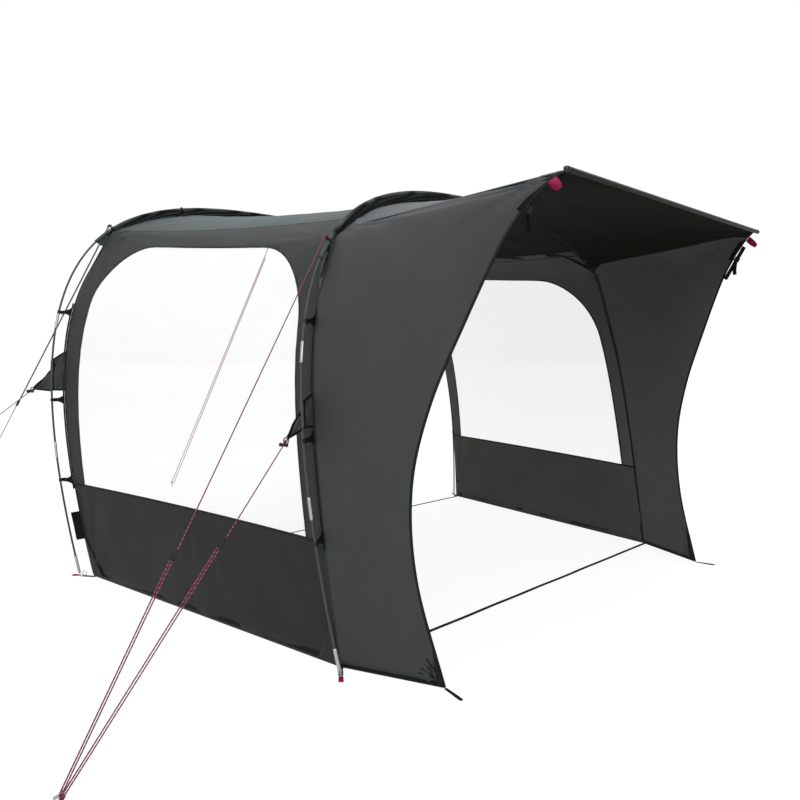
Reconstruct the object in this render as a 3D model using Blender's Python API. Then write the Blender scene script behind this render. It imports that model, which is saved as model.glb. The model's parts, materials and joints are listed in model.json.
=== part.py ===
"""Campervan awning: a two-arch tunnel with a canopy and draught wings on its van side.

The frame has X across the tunnel (the side with the guylines is -X, called near), Y out from
the van and Z up. The origin is on the ground, midway between the inner arch's feet.
"""
import math

import bmesh
import bpy
import numpy as np
from mathutils import Matrix, Vector
from mathutils.geometry import delaunay_2d_cdt

# Clearances between pieces that touch on the real awning
GAP = 0.0003
SEAM = 0.00042
LOOSE = 0.0011

# Cloth and webbing
FABRIC = 0.002
WEBBING = 0.0015
WEBBING_WIDTH = 0.020
SADDLE = 0.015
SADDLE_STARTS = 0.2
SADDLE_CENTRE = 0.89685
HEM_LIFT = 0.0021
CLOTH_GRID = 0.30
CLOTH_EDGE_CLEAR = 0.0525

# Fabric arches: half widths at the foot, Bezier handles (x, z) and crown heights
ARCH_STEPS = 18
FINE_STEPS = 400
ARCH_SPACING = 1.866
INNER_FOOT = 1.303
INNER_LEG = (1.375, 1.689)
INNER_SHOULDER = 1.225
INNER_CROWN = 1.993
INNER_LEAN = 0.165
OUTER_FOOT = 1.563
OUTER_LEG = (1.891, 2.161)
OUTER_SHOULDER = 1.046
OUTER_CROWN = 2.180
OUTER_LEAN = 0.170

# Pole arches, as how far their handles stand out from the fabric's
INNER_POLE_OUT = 0.049
INNER_POLE_LEG_OUT = (0.230, 0.334)
INNER_POLE_SHOULDER_OUT = -0.381
INNER_POLE_RISE = 0.089
INNER_POLE_SET = -0.062
OUTER_POLE_OUT = 0.050
OUTER_POLE_LEG_OUT = (0.065, 0.003)
OUTER_POLE_SHOULDER_OUT = 0.084
OUTER_POLE_RISE = 0.0745
OUTER_POLE_SET = 0.070
ROD_RADIUS = 0.0055
INNER_ROD_LENGTH = 0.63
INNER_FIRST_JOINT = 0.67
OUTER_ROD_LENGTH = 0.74
OUTER_FIRST_JOINT = 0.73
ROUND_SIDES = 8
ROUND_FLATS = 1.11
FERRULE_RADIUS = 0.0072
FERRULE_LENGTH = 0.090

# Seams, as heights above the ground
KICK_INNER = 0.500
KICK_OUTER = 0.530
ROOF_SEAM_INNER = 1.800
ROOF_SEAM_OUTER = 1.980
CANOPY_SEAM = 1.720

# Windows
WINDOW_INNER_MARGIN = 0.100
WINDOW_OUTER_MARGIN = 0.105
WINDOW_TOP_SPREAD = 0.045
WINDOW_ROOF_MARGIN = 0.075
WINDOW_CORNER = 0.360
CORNER_STEPS = 6

# Wings, canopy and van bar, with Y measured from the inner arch's feet, and the
# wings' free edges as places below the bar
WING_TIP = (1.134, -0.416)
WING_EDGE = (
    (1.168, -0.295, 1.503),
    (1.166, -0.267, 1.153),
    (1.129, -0.327, 0.836),
    (1.066, -0.449, 0.513),
    (1.001, -0.581, 0.211),
    (0.950, -0.693, 0.056),
)
WING_EDGE_STEPS = 14
BAR_REACH = 0.773
BAR_HEIGHT = 1.903
BAR_HALF = 0.915
BAR_RADIUS = 0.008
BAR_SLEEVE_HALF = 0.905
BAR_SLEEVE_WALL = 0.0015
BAR_CAP_LENGTH = 0.016
BAR_CAP_RADIUS = 0.0108

# Sleeves that carry the roof on the poles
SLEEVE_BORE = FERRULE_RADIUS + LOOSE
SLEEVE_WALL = 0.001
INNER_SLEEVE_FROM = 1.670
OUTER_SLEEVE_FROM = 1.930

# Clips that hold the legs to the fabric
INNER_CLIP_HEIGHTS = (0.52, 0.92, 1.40)
OUTER_CLIP_HEIGHTS = (0.55, 1.00, 1.50)
CLIP_WALL = 0.003
CLIP_LENGTH = 0.016
CLIP_SPREAD = 0.060
CLIP_WEB = 0.0012
CLIP_TAPE_WIDTH = 0.009
CLIP_TAPE_ENDS = 0.05
CLIP_WEB_TUCK = 0.0054

# Gussets for the guylines, above the middle clips
INNER_GUSSET_CLEARANCE = 0.020
INNER_GUSSET_REACH = 0.125
INNER_GUSSET_BASE = 0.10
OUTER_GUSSET_CLEARANCE = 0.025
OUTER_GUSSET_REACH = 0.172
OUTER_GUSSET_BASE = 0.17
GUSSET_SLEEVE_WALL = 0.0012
GUSSET_FOOT = 0.002

# Loops on the sleeves, as heights above the sleeves' ends
INNER_LOOP_UP = 0.080
OUTER_LOOP_UP = 0.090
LOOP_WIRE = 0.0018
LOOP_STEPS = 16
LOOP_REACH = 0.030
LOOP_TIP_RADIUS = 0.004

# Feet
FOOT_TUBE_FROM = 0.0203
FOOT_TUBE_LENGTH = 0.095
FOOT_TUBE_RADIUS = 0.0080
FOOT_BORE_DEPTH = 0.045
PIN_RADIUS = 0.0025
PIN_FROM = 0.0007
PIN_LENGTH = 0.060
PIN_COLLAR_RADIUS = 0.0055
PIN_COLLAR_FROM = 0.016
FOOT_RING_RADIUS = 0.010
FOOT_RING_WIRE = 0.0013
FOOT_RING_SIDES = 12
PEG_LOOP_LENGTH = 0.045
WING_LOOP_LENGTH = 0.105
WING_LOOP_SPLAY = 0.24
WING_LOOP_WIDTH = 0.012

# Tabs and tension straps at the bar's corners
TAB_WIDTH = 0.036
TAB_LENGTH = 0.058
TAB_TIP_WIDTH = 0.0216
TAB_TAPER = 0.0232
TAB_SLOPE = math.radians(25)
TAB_THICKNESS = 0.0016
TAB_BELOW_BAR = 0.029
EDGE_STRAP_FOOT = 0.223
EDGE_STRAP_TOP = 0.061
EDGE_STRAP_WIDTH = 0.020
STRAP_TUCK = 0.0009
BUCKLE_AT = 0.62
BUCKLE_LENGTH = 0.022
BUCKLE_BAR = 0.0035
BUCKLE_HEIGHT = 0.006

# Zip sliders on the windows' inner edges
SLIDER_AT = 0.655
SLIDER_TRAVEL = 0.120
SLIDER_BESIDE = 0.012
SLIDER_WIDTH = 0.009
SLIDER_LENGTH = 0.014
SLIDER_DEPTH = 0.005
PULL_LENGTH = 0.022
PULL_DEPTH = 0.0016
SLIDER_GAP = 0.0009

# Flag label on the outer edge of the near kick panel
LABEL_LOW = 0.216
LABEL_HEIGHT = 0.160
LABEL_REACH = 0.052
LABEL_THICKNESS = 0.001

# Guylines: anchors and pegs chosen along their own lines, in the part's frame
CORD_RADIUS = 0.0015
CORD_POINTS = 9
TWIN = 0.0045
CENTRE_SPREAD = 0.012
TURN_DEPTH = 0.0072
TURN_STEPS = 6
PEG_THICKNESS = 0.005
PEG_WIDTH = 0.009
PEG_HEIGHT = 0.050
PEG_NOSE = 0.016
RUNNER_SIZE = (0.018, 0.040, 0.006)
RUNNER_BORE = 0.0021
SHOULDER_LINE = ((-1.1583, 0.2586, 1.7691), (-2.424, -0.138, 0.04))
GUSSET_LINE = ((-1.4748, 0.1068, 0.9351), (-2.424, -0.138, 0.028))
STORM_LINE = ((-1.7355, 2.2289, 1.0582), (-2.44, 3.993, 0.034))
OUTER_LINE = ((-1.28, 2.21, 2.045), (-1.957, 3.334, 0.034))
CENTRE_LINE = ((0.0, 2.2439, 2.2472), (0.0, 4.04, 0.034))
SHOULDER_RUNNER_AT = 0.67
GUSSET_RUNNER_AT = 0.36
OUTER_RUNNER_AT = 0.55
CENTRE_RETURN_AT = 0.12


# Materials


def material(name, colour, roughness, metallic=0.0, alpha=1.0):
    """A plain Principled finish, shared by every piece that asks for the same name."""
    made = bpy.data.materials.get(name)
    if made:
        return made
    made = bpy.data.materials.new(name)
    made.use_nodes = True
    shader = made.node_tree.nodes["Principled BSDF"]
    shader.inputs["Base Color"].default_value = (*colour, 1.0)
    shader.inputs["Roughness"].default_value = roughness
    shader.inputs["Metallic"].default_value = metallic
    shader.inputs["Alpha"].default_value = alpha
    return made


def roof_cloth():
    return material("roof_cloth", (0.13, 0.155, 0.16), 0.75)


def wall_cloth():
    return material("wall_cloth", (0.060, 0.066, 0.070), 0.8)


def kick_cloth():
    return material("kick_cloth", (0.038, 0.038, 0.037), 0.85)


def clear_film():
    return material("clear_film", (0.85, 0.87, 0.88), 0.15, alpha=0.25)


def black_webbing():
    return material("black_webbing", (0.008, 0.008, 0.009), 0.7)


def black_plastic():
    return material("black_plastic", (0.010, 0.010, 0.011), 0.4)


def pole_fibre():
    return material("pole_fibre", (0.055, 0.058, 0.060), 0.4)


def silver_metal():
    return material("silver_metal", (0.55, 0.56, 0.57), 0.3, metallic=1.0)


def crimson_webbing():
    return material("crimson_webbing", (0.30, 0.010, 0.050), 0.65)


def crimson_cord():
    return material("crimson_cord", (0.25, 0.012, 0.045), 0.6)


# Objects and solids


def add_object(name, mesh, finish, location=(0, 0, 0)):
    """Links a mesh as a named object with one material, at its place."""
    mesh.materials.append(finish)
    made = bpy.data.objects.new(name, mesh)
    made.location = location
    bpy.context.scene.collection.objects.link(made)
    return made


def finish_mesh(name, bm):
    """Turns a bmesh of closed shells into a mesh with its faces pointing out."""
    bmesh.ops.recalc_face_normals(bm, faces=bm.faces)
    mesh = bpy.data.meshes.new(name)
    bm.to_mesh(mesh)
    bm.free()
    return mesh


def solid(name, shapes, finish, origin=(0, 0, 0)):
    """One object from a list of functions that each add a closed shell to a bmesh.

    The object's origin is the given point, which is on the joint's axis of a moving piece.
    """
    bm = bmesh.new()
    for add in shapes:
        add(bm)
    bmesh.ops.translate(bm, verts=bm.verts, vec=-Vector(origin))
    return add_object(name, finish_mesh(name, bm), finish, origin)


def unit(vector):
    return Vector(vector).normalized()


def across(direction, up=(0, 0, 1)):
    """The horizontal unit vector square to a direction."""
    return unit(Vector(direction).cross(Vector(up)))


def tube(points, radius, bore=None, side=None, sides=ROUND_SIDES):
    """Adds a round rod, or with a bore a tube, swept along points."""
    points = [Vector(p) for p in points]

    def add(bm):
        walls = [radius] if bore is None else [radius, bore]
        rings = []
        for i, point in enumerate(points):
            ahead = points[min(i + 1, len(points) - 1)] - point
            behind = point - points[max(i - 1, 0)]
            tangent = unit(
                (ahead.normalized() if ahead.length else Vector())
                + (behind.normalized() if behind.length else Vector())
            )
            first = Vector(side) if side is not None else across(tangent, square_to(tangent))
            first = unit(first - first.dot(tangent) * tangent)
            second = tangent.cross(first)
            rings.append(
                [
                    [
                        bm.verts.new(
                            point
                            + wall * math.cos(2 * math.pi * k / sides) * first
                            + wall * math.sin(2 * math.pi * k / sides) * second
                        )
                        for k in range(sides)
                    ]
                    for wall in walls
                ]
            )
        for low, high in zip(rings, rings[1:]):
            for wall in range(len(walls)):
                for k in range(sides):
                    n = (k + 1) % sides
                    bm.faces.new((low[wall][k], low[wall][n], high[wall][n], high[wall][k]))
        for end in (rings[0], rings[-1]):
            if bore is None:
                bm.faces.new(end[0])
            else:
                for k in range(sides):
                    n = (k + 1) % sides
                    bm.faces.new((end[0][k], end[0][n], end[1][n], end[1][k]))

    return add


def turned(path, profile, side, sides=ROUND_SIDES):
    """Adds a turned body: radii at lengths of a path, with the path's corners between them."""

    def add(bm):
        stations = []
        for i, (s, radius) in enumerate(profile):
            if i and s > profile[i - 1][0]:
                stations += [(c, radius) for c in path.corners(profile[i - 1][0], s)]
            stations.append((s, radius))
        rings = []
        for s, radius in stations:
            point, tangent = path.at(s), path.direction(s)
            first = Vector(side)
            first = unit(first - first.dot(tangent) * tangent)
            second = tangent.cross(first)
            rings.append(
                [
                    bm.verts.new(
                        point
                        + radius * math.cos(2 * math.pi * k / sides) * first
                        + radius * math.sin(2 * math.pi * k / sides) * second
                    )
                    for k in range(sides)
                ]
            )
        for low, high in zip(rings, rings[1:]):
            for k in range(sides):
                n = (k + 1) % sides
                bm.faces.new((low[k], low[n], high[n], high[k]))
        bm.faces.new(rings[0])
        bm.faces.new(rings[-1])

    return add


def keyhole(spine, feet, radius, bore, thickness, sides=ROUND_SIDES):
    """Adds a tube along a spine that grows a flat web to a foot beside each point.

    The radius and the bore are those of the circles inside its flats.
    """

    def add(bm):
        rows = []
        half = math.asin(thickness / 2 / radius)
        arc = (2 * math.pi - 2 * half) / (sides - 1)
        grow = 1 / math.cos(arc / 2)
        for i, (point, foot) in enumerate(zip(spine, feet)):
            ahead = spine[min(i + 1, len(spine) - 1)] - spine[max(i - 1, 0)]
            tangent = unit(ahead)
            down = foot - point
            down = unit(down - down.dot(tangent) * tangent)
            beside = tangent.cross(down)
            turns = [half + arc * k for k in range(sides)]
            outer, inner = [
                [
                    bm.verts.new(
                        point + wall * grow * (math.cos(a) * down + math.sin(a) * beside)
                    )
                    for a in turns
                ]
                for wall in (radius, bore)
            ]
            web = [bm.verts.new(foot + sign * beside * thickness / 2) for sign in (1, -1)]
            rows.append((outer, inner, web))
        for (outer, inner, web), (outer2, inner2, web2) in zip(rows, rows[1:]):
            loop = [*outer, web[1], web[0]]
            loop2 = [*outer2, web2[1], web2[0]]
            for one, two in ((loop, loop2), (inner, inner2)):
                for k in range(len(one)):
                    n = (k + 1) % len(one)
                    bm.faces.new((one[k], one[n], two[n], two[k]))
        for outer, inner, web in (rows[0], rows[-1]):
            for k in range(sides):
                n = (k + 1) % sides
                bm.faces.new((outer[k], outer[n], inner[n], inner[k]))
            bm.faces.new((outer[0], web[0], web[1], outer[-1]))

    return add


def square_to(direction):
    """A world axis that isn't along a direction."""
    return (1, 0, 0) if abs(unit(direction).x) < 0.7 else (0, 1, 0)


def ring(centre, axis, radius, wire, steps=12, sides=6):
    """Adds a closed round ring of wire."""
    centre, axis = Vector(centre), unit(axis)
    first = across(axis, square_to(axis))
    second = axis.cross(first)

    def add(bm):
        loops = []
        for i in range(steps):
            turn = 2 * math.pi * i / steps
            out = math.cos(turn) * first + math.sin(turn) * second
            loops.append(
                [
                    bm.verts.new(
                        centre
                        + (radius + wire * math.cos(2 * math.pi * k / sides)) * out
                        + wire * math.sin(2 * math.pi * k / sides) * axis
                    )
                    for k in range(sides)
                ]
            )
        for i in range(steps):
            low, high = loops[i], loops[(i + 1) % steps]
            for k in range(sides):
                n = (k + 1) % sides
                bm.faces.new((low[k], low[n], high[n], high[k]))

    return add


def prism(corners, thickness):
    """Adds a flat plate: a polygon given thickness, half to each side of its plane."""
    corners = [Vector(c) for c in corners]
    normal = Vector()
    for a, b in zip(corners, corners[1:] + corners[:1]):
        normal += a.cross(b)
    step = normal.normalized() * thickness / 2

    def add(bm):
        low = [bm.verts.new(c - step) for c in corners]
        high = [bm.verts.new(c + step) for c in corners]
        bm.faces.new(low[::-1])
        bm.faces.new(high)
        for i in range(len(corners)):
            n = (i + 1) % len(corners)
            bm.faces.new((low[i], low[n], high[n], high[i]))

    return add


def ribbon(tops, bottoms, thickness):
    """Adds a strip of cloth ruled between two rows of points."""
    rows = [[Vector(p) for p in tops], [Vector(p) for p in bottoms]]

    def add(bm):
        shells = []
        for sign in (-1, 1):
            shell = []
            for i in range(len(rows[0])):
                j = min(i, len(rows[0]) - 2)
                along = rows[0][j + 1] - rows[0][j]
                normal = unit(along.cross(rows[1][i] - rows[0][i]))
                shell.append([bm.verts.new(row[i] + sign * normal * thickness / 2) for row in rows])
            shells.append(shell)
        back, front = shells
        for i in range(len(rows[0]) - 1):
            for shell in shells:
                bm.faces.new((shell[i][0], shell[i + 1][0], shell[i + 1][1], shell[i][1]))
            for row in (0, 1):
                bm.faces.new((back[i][row], back[i + 1][row], front[i + 1][row], front[i][row]))
        for i in (0, -1):
            bm.faces.new((back[i][0], back[i][1], front[i][1], front[i][0]))

    return add


def block(centre, size, x_axis, y_axis):
    """Adds a box whose sides run along two given directions and their normal."""
    x_axis = unit(x_axis)
    z_axis = unit(x_axis.cross(unit(y_axis)))
    y_axis = z_axis.cross(x_axis)

    def add(bm):
        turn = Matrix((x_axis, y_axis, z_axis)).transposed().to_4x4()
        place = Matrix.Translation(centre) @ turn @ Matrix.Diagonal((*size, 1))
        bmesh.ops.create_cube(bm, size=1, matrix=place)

    return add


def combine(target, shapes, operation):
    """Puts an exact Boolean with a hidden helper object on an object."""
    helper = solid(f"{target.name}_{operation.lower()}", shapes, black_plastic())
    helper.hide_render = True
    helper.display_type = "WIRE"
    boolean = target.modifiers.new(operation.lower(), "BOOLEAN")
    boolean.operation = operation
    boolean.solver = "EXACT"
    boolean.object = helper


def cut(target, shapes):
    combine(target, shapes, "DIFFERENCE")


def join(target, shapes):
    combine(target, shapes, "UNION")


# Curves


def bezier(handles, t):
    a, b, c, d = handles
    s = 1 - t
    return tuple(
        s**3 * a[i] + 3 * s * s * t * b[i] + 3 * s * t * t * c[i] + t**3 * d[i] for i in (0, 1)
    )


def smooth_path(points, steps):
    """Points on a Catmull-Rom curve through the given ones, evenly spaced in parameter."""
    points = [Vector(p) for p in points]
    padded = [2 * points[0] - points[1], *points, 2 * points[-1] - points[-2]]
    spans = len(points) - 1
    made = []
    for i in range(steps + 1):
        place = i * spans / steps
        k = min(int(place), spans - 1)
        t = place - k
        a, b, c, d = padded[k : k + 4]
        made.append(
            0.5
            * (
                2 * b
                + (c - a) * t
                + (2 * a - 5 * b + 4 * c - d) * t * t
                + (3 * b - a - 3 * c + d) * t**3
            )
        )
    return made


def along(points, share):
    """The point at a share of a row of points, along its chords."""
    place = min(max(share, 0.0), 1.0) * (len(points) - 1)
    k = min(int(place), len(points) - 2)
    return points[k].lerp(points[k + 1], place - k)


class Arch:
    """A symmetric arch in a leaning plane, as chords of a Bezier from foot to crown."""

    def __init__(self, foot, leg, shoulder, crown, foot_y, lean, beside=None):
        self.foot, self.leg, self.shoulder = foot, leg, shoulder
        self.foot_y, self.lean = foot_y, lean
        handles = ((foot, 0), leg, (shoulder, crown), (0, crown))
        shares = [k / ARCH_STEPS for k in range(ARCH_STEPS + 1)]
        if beside:
            shares[1:-1] = [self.beside(handles, beside.point(1, t)) for t in shares[1:-1]]
        self.rows = [bezier(handles, t) for t in shares]
        self.side = Vector((0, 1, -lean)).normalized()

    def beside(self, handles, point):
        """The share of the curve that is nearest to a point."""
        best = None
        for k in range(FINE_STEPS + 1):
            x, z = bezier(handles, k / FINE_STEPS)
            far = (Vector((x, self.foot_y + self.lean * z, z)) - point).length
            if best is None or far < best[0]:
                best = far, k / FINE_STEPS
        return best[1]

    def half(self, t):
        place = min(max(t, 0.0), 1.0) * ARCH_STEPS
        k = min(int(place), ARCH_STEPS - 1)
        low, high, share = self.rows[k], self.rows[k + 1], place - k
        return low[0] + (high[0] - low[0]) * share, low[1] + (high[1] - low[1]) * share

    def point(self, side, t):
        x, z = self.half(t)
        return Vector((side * x, self.foot_y + self.lean * z, z))

    def at_height(self, z):
        low, high = 0.0, 1.0
        for _ in range(40):
            middle = (low + high) / 2
            low, high = (middle, high) if self.half(middle)[1] < z else (low, middle)
        return low

    def steps(self, start, end, marks=()):
        """Shares from start to end that hold every chord's end and the given marks."""
        inner = [k / ARCH_STEPS for k in range(ARCH_STEPS + 1)] + list(marks)
        near = 0.002
        kept = [start]
        for t in sorted(inner):
            if start + near < t < end - near and t > kept[-1] + near:
                kept.append(t)
        return kept + [end]

    def path(self):
        """The whole arch from the near foot to the far one, with its lengths."""
        near = [self.point(-1, k / ARCH_STEPS) for k in range(ARCH_STEPS + 1)]
        return Path(near + [Vector((-p.x, p.y, p.z)) for p in near[-2::-1]])


class Path:
    """A row of chords measured by length from its start."""

    def __init__(self, points):
        self.points = points
        self.lengths = [0.0]
        for a, b in zip(points, points[1:]):
            self.lengths.append(self.lengths[-1] + (b - a).length)
        self.length = self.lengths[-1]

    def at(self, s):
        s = min(max(s, 0.0), self.length)
        k = max(i for i in range(len(self.lengths) - 1) if self.lengths[i] <= s + 1e-9)
        share = (s - self.lengths[k]) / (self.lengths[k + 1] - self.lengths[k])
        return self.points[k].lerp(self.points[k + 1], min(share, 1.0))

    def direction(self, s):
        return unit(self.at(s + 1e-4) - self.at(s - 1e-4))

    def between(self, start, end):
        """The stretch from one length to another, with every corner between them."""
        inner = [self.at(s) for s in self.corners(start, end)]
        return [self.at(start), *inner, self.at(end)]

    def corners(self, start, end):
        """The lengths of the corners between two lengths, clear of both."""
        clear = 0.001
        return [s for s in self.lengths if start + clear < s < end - clear]

    def at_height(self, z):
        """The length from the near foot at which the first rise reaches a height."""
        low, high = 0.0, self.length / 2
        for _ in range(40):
            middle = (low + high) / 2
            low, high = (middle, high) if self.at(middle).z < z else (low, middle)
        return low


# The awning's lines

INNER = Arch(INNER_FOOT, INNER_LEG, INNER_SHOULDER, INNER_CROWN, 0, INNER_LEAN)
OUTER = Arch(OUTER_FOOT, OUTER_LEG, OUTER_SHOULDER, OUTER_CROWN, ARCH_SPACING, OUTER_LEAN)


def pole_arch(fabric, foot_out, leg_out, shoulder_out, rise, offset):
    """A pole's arch, above the fabric at the crown and with its corners beside the fabric's."""
    foot = fabric.foot + foot_out
    leg = tuple(a + b for a, b in zip(fabric.leg, leg_out))
    shoulder = fabric.shoulder + shoulder_out
    fabric_crown = fabric.point(1, 1)
    crown = fabric_crown.z + rise
    foot_y = fabric.foot_y + offset
    lean = (fabric_crown.y - foot_y) / crown
    return Arch(foot, leg, shoulder, crown, foot_y, lean, beside=fabric)


INNER_POLE = pole_arch(
    INNER,
    INNER_POLE_OUT,
    INNER_POLE_LEG_OUT,
    INNER_POLE_SHOULDER_OUT,
    INNER_POLE_RISE,
    INNER_POLE_SET,
)
OUTER_POLE = pole_arch(
    OUTER,
    OUTER_POLE_OUT,
    OUTER_POLE_LEG_OUT,
    OUTER_POLE_SHOULDER_OUT,
    OUTER_POLE_RISE,
    OUTER_POLE_SET,
)
SIDES = ((-1, "near"), (1, "far"))
BAR_Y = -BAR_REACH
SLEEVED_BAR = BAR_RADIUS + GAP + BAR_SLEEVE_WALL
CANOPY_EDGE_Y = BAR_Y + SLEEVED_BAR + GAP
SLEEVE_RADIUS = SLEEVE_BORE + SLEEVE_WALL


def tunnel(side, u, t):
    """The tunnel's cloth: u from the inner arch to the outer, t from the foot to the crown."""
    point = INNER.point(side, t).lerp(OUTER.point(side, t), u)
    inward = unit(Vector((0, point.y, SADDLE_CENTRE)) - point)
    grows = math.sin(math.pi / 2 * min(1.0, t / SADDLE_STARTS))
    return point + inward * SADDLE * 4 * u * (1 - u) * grows


def at_height(u, z):
    """The share t at which the tunnel's cloth reaches a height."""
    low, high = 0.0, 1.0
    for _ in range(30):
        middle = (low + high) / 2
        low, high = (middle, high) if tunnel(1, u, middle).z < z else (low, middle)
    return low


def between(low, high, share):
    return low + (high - low) * share


def kick_top(u):
    return between(INNER.at_height(KICK_INNER), OUTER.at_height(KICK_OUTER), u)


def roof_seam(u):
    return between(INNER.at_height(ROOF_SEAM_INNER), OUTER.at_height(ROOF_SEAM_OUTER), u)


CANOPY_SHARE = INNER.at_height(CANOPY_SEAM)


def wing_corners(side):
    tip = Vector((side * WING_TIP[0], WING_TIP[1], 0))
    top = Vector((side * BAR_SLEEVE_HALF, CANOPY_EDGE_Y, BAR_HEIGHT))
    return INNER.point(side, 0), tip, INNER.point(side, CANOPY_SHARE), top


def front_edge(side):
    """The wing's free edge from its tip on the ground to the bar's corner."""
    _, tip, _, top = wing_corners(side)
    middle = [(side * x, y, BAR_HEIGHT - drop) for x, y, drop in WING_EDGE]
    return smooth_path([tip, *middle, top], WING_EDGE_STEPS)


FRONT_EDGES = {side: front_edge(side) for side in (-1, 1)}


def coons(low, high, start, end, a, b):
    """A Coons patch: low and high are edges in a, start and end are edges in b."""
    ruled = low(a).lerp(high(a), b) + start(b).lerp(end(b), a)
    corners = low(0).lerp(low(1), a).lerp(high(0).lerp(high(1), a), b)
    return ruled - corners


def wing(side, a, b):
    """The wing's cloth: a from the inner arch to the free edge, b from the hem to the seam."""
    foot, tip, seam, top = wing_corners(side)
    return coons(
        lambda s: foot.lerp(tip, s),
        lambda s: seam.lerp(top, s),
        lambda s: INNER.point(side, s * CANOPY_SHARE),
        lambda s: along(FRONT_EDGES[side], s),
        a,
        b,
    )


def canopy(a, w):
    """The canopy's cloth: a from the inner arch to the bar, w from -1, near, to 1, far."""

    def arch(s):
        v = (2 * s - 1) * (1 - CANOPY_SHARE)
        return INNER.point(-1 if v < 0 else 1, 1 - abs(v))

    _, _, near_seam, near_top = wing_corners(-1)
    _, _, far_seam, far_top = wing_corners(1)
    return coons(
        lambda s: near_seam.lerp(near_top, s),
        lambda s: far_seam.lerp(far_top, s),
        arch,
        lambda s: near_top.lerp(far_top, s),
        a,
        (w + 1) / 2,
    )


# Cloth panels


def inside(point, outline):
    """Whether a flat point is inside an outline, by crossings."""
    hit = False
    for (ax, ay), (bx, by) in zip(outline, outline[1:] + outline[:1]):
        if (ay > point[1]) != (by > point[1]):
            hit ^= point[0] < ax + (point[1] - ay) / (by - ay) * (bx - ax)
    return hit


def off_outline(point, outline):
    """How far a flat point is from an outline."""
    p = np.array(point)
    a, b = np.array(outline), np.array(outline[1:] + outline[:1])
    d = b - a
    share = np.clip(((p - a) * d).sum(1) / np.maximum((d * d).sum(1), 1e-12), 0, 1)
    return float(np.sqrt((((a + share[:, None] * d) - p) ** 2).sum(1)).min())


def panel(name, surface, outline, scale, inner, finish, thickness=FABRIC):
    """A cloth panel cut to an outline in its surface's two parameters.

    scale turns the parameters into metres, and inner lists the two rows of parameters whose
    crossings become points of the cloth where they lie well inside the outline.
    """
    flat = [(p[0] * scale[0], p[1] * scale[1]) for p in outline]
    points = list(flat)
    for a in inner[0]:
        for b in inner[1]:
            p = (a * scale[0], b * scale[1])
            if inside(p, flat) and off_outline(p, flat) > CLOTH_EDGE_CLEAR:
                points.append(p)
    edges = [(i, (i + 1) % len(flat)) for i in range(len(flat))]
    made, _, faces, *_ = delaunay_2d_cdt([Vector(p) for p in points], edges, [], 0, 1e-6)
    bm = bmesh.new()
    verts = [bm.verts.new(surface(p[0] / scale[0], p[1] / scale[1])) for p in made]
    for face in faces:
        middle = [sum(made[i][k] for i in face) / len(face) for k in (0, 1)]
        if inside(middle, flat):
            bm.faces.new([verts[i] for i in face])
    bmesh.ops.delete(bm, geom=[v for v in bm.verts if not v.link_faces], context="VERTS")
    mesh = bpy.data.meshes.new(name)
    bm.to_mesh(mesh)
    bm.free()
    made = add_object(name, mesh, finish)
    shell = made.modifiers.new("thickness", "SOLIDIFY")
    shell.thickness = thickness
    shell.offset = 0
    return made


def spread_rows(start, end, most):
    """Evenly spaced values with steps no longer than most."""
    count = max(1, math.ceil((end - start) / most))
    return [start + (end - start) * i / count for i in range(count + 1)]


TUNNEL_SCALE = (ARCH_SPACING, 3.0)
TUNNEL_U = spread_rows(SEAM / ARCH_SPACING, 1 - SEAM / ARCH_SPACING, CLOTH_GRID / ARCH_SPACING)
TUNNEL_T = [k / ARCH_STEPS for k in range(ARCH_STEPS + 1)]
SEAM_T = SEAM / TUNNEL_SCALE[1]


def window_side_u(outer, share):
    """Where a window's side runs, at a share of its height."""
    if outer:
        return 1 - (WINDOW_OUTER_MARGIN + WINDOW_TOP_SPREAD * share) / ARCH_SPACING
    return WINDOW_INNER_MARGIN / ARCH_SPACING


def window_top(u):
    """The height of the window's top edge, where its corners don't bend it."""
    return between(ROOF_SEAM_INNER, ROOF_SEAM_OUTER, u) - WINDOW_ROOF_MARGIN


def window_arch(gap):
    """The window's edge from its inner foot over its top to its outer foot.

    gap moves the edge into the window, so that the pane clears the cloth round it.
    """
    corner = WINDOW_CORNER
    edge = []
    for outer in (False, True):
        sign = -1 if outer else 1
        u_foot = window_side_u(outer, 0) + sign * gap / ARCH_SPACING
        u_side = window_side_u(outer, 1) + sign * gap / ARCH_SPACING
        rise = []
        top_here = window_top(u_side) - gap
        foot_z = tunnel(1, u_foot, kick_top(u_foot)).z
        for share in (0, 0.25, 0.5, 0.75, 1.0):
            z = between(foot_z, top_here - corner, share)
            u = between(u_foot, u_side, share)
            t = kick_top(u) if share == 0 else at_height(u, z)
            rise.append((u, t))
        for k in range(1, CORNER_STEPS + 1):
            turn = math.pi / 2 * k / CORNER_STEPS
            u = u_side + sign * corner * (1 - math.cos(turn)) / ARCH_SPACING
            top = window_top(u) - gap
            rise.append((u, at_height(u, top - corner * (1 - math.sin(turn)))))
        edge += rise if not outer else rise[::-1]
    return edge


def kick_outline():
    low = HEM_LIFT / TUNNEL_SCALE[1]
    start, end = TUNNEL_U[0], TUNNEL_U[-1]
    top = [(u, kick_top(u) - SEAM_T) for u in TUNNEL_U]
    inner_side = INNER.steps(low, top[0][1])
    outer_side = OUTER.steps(low, top[-1][1])
    return (
        [(u, low) for u in TUNNEL_U]
        + [(end, t) for t in outer_side[1:-1]]
        + top[::-1]
        + [(start, t) for t in inner_side[-2:0:-1]]
    )


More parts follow.
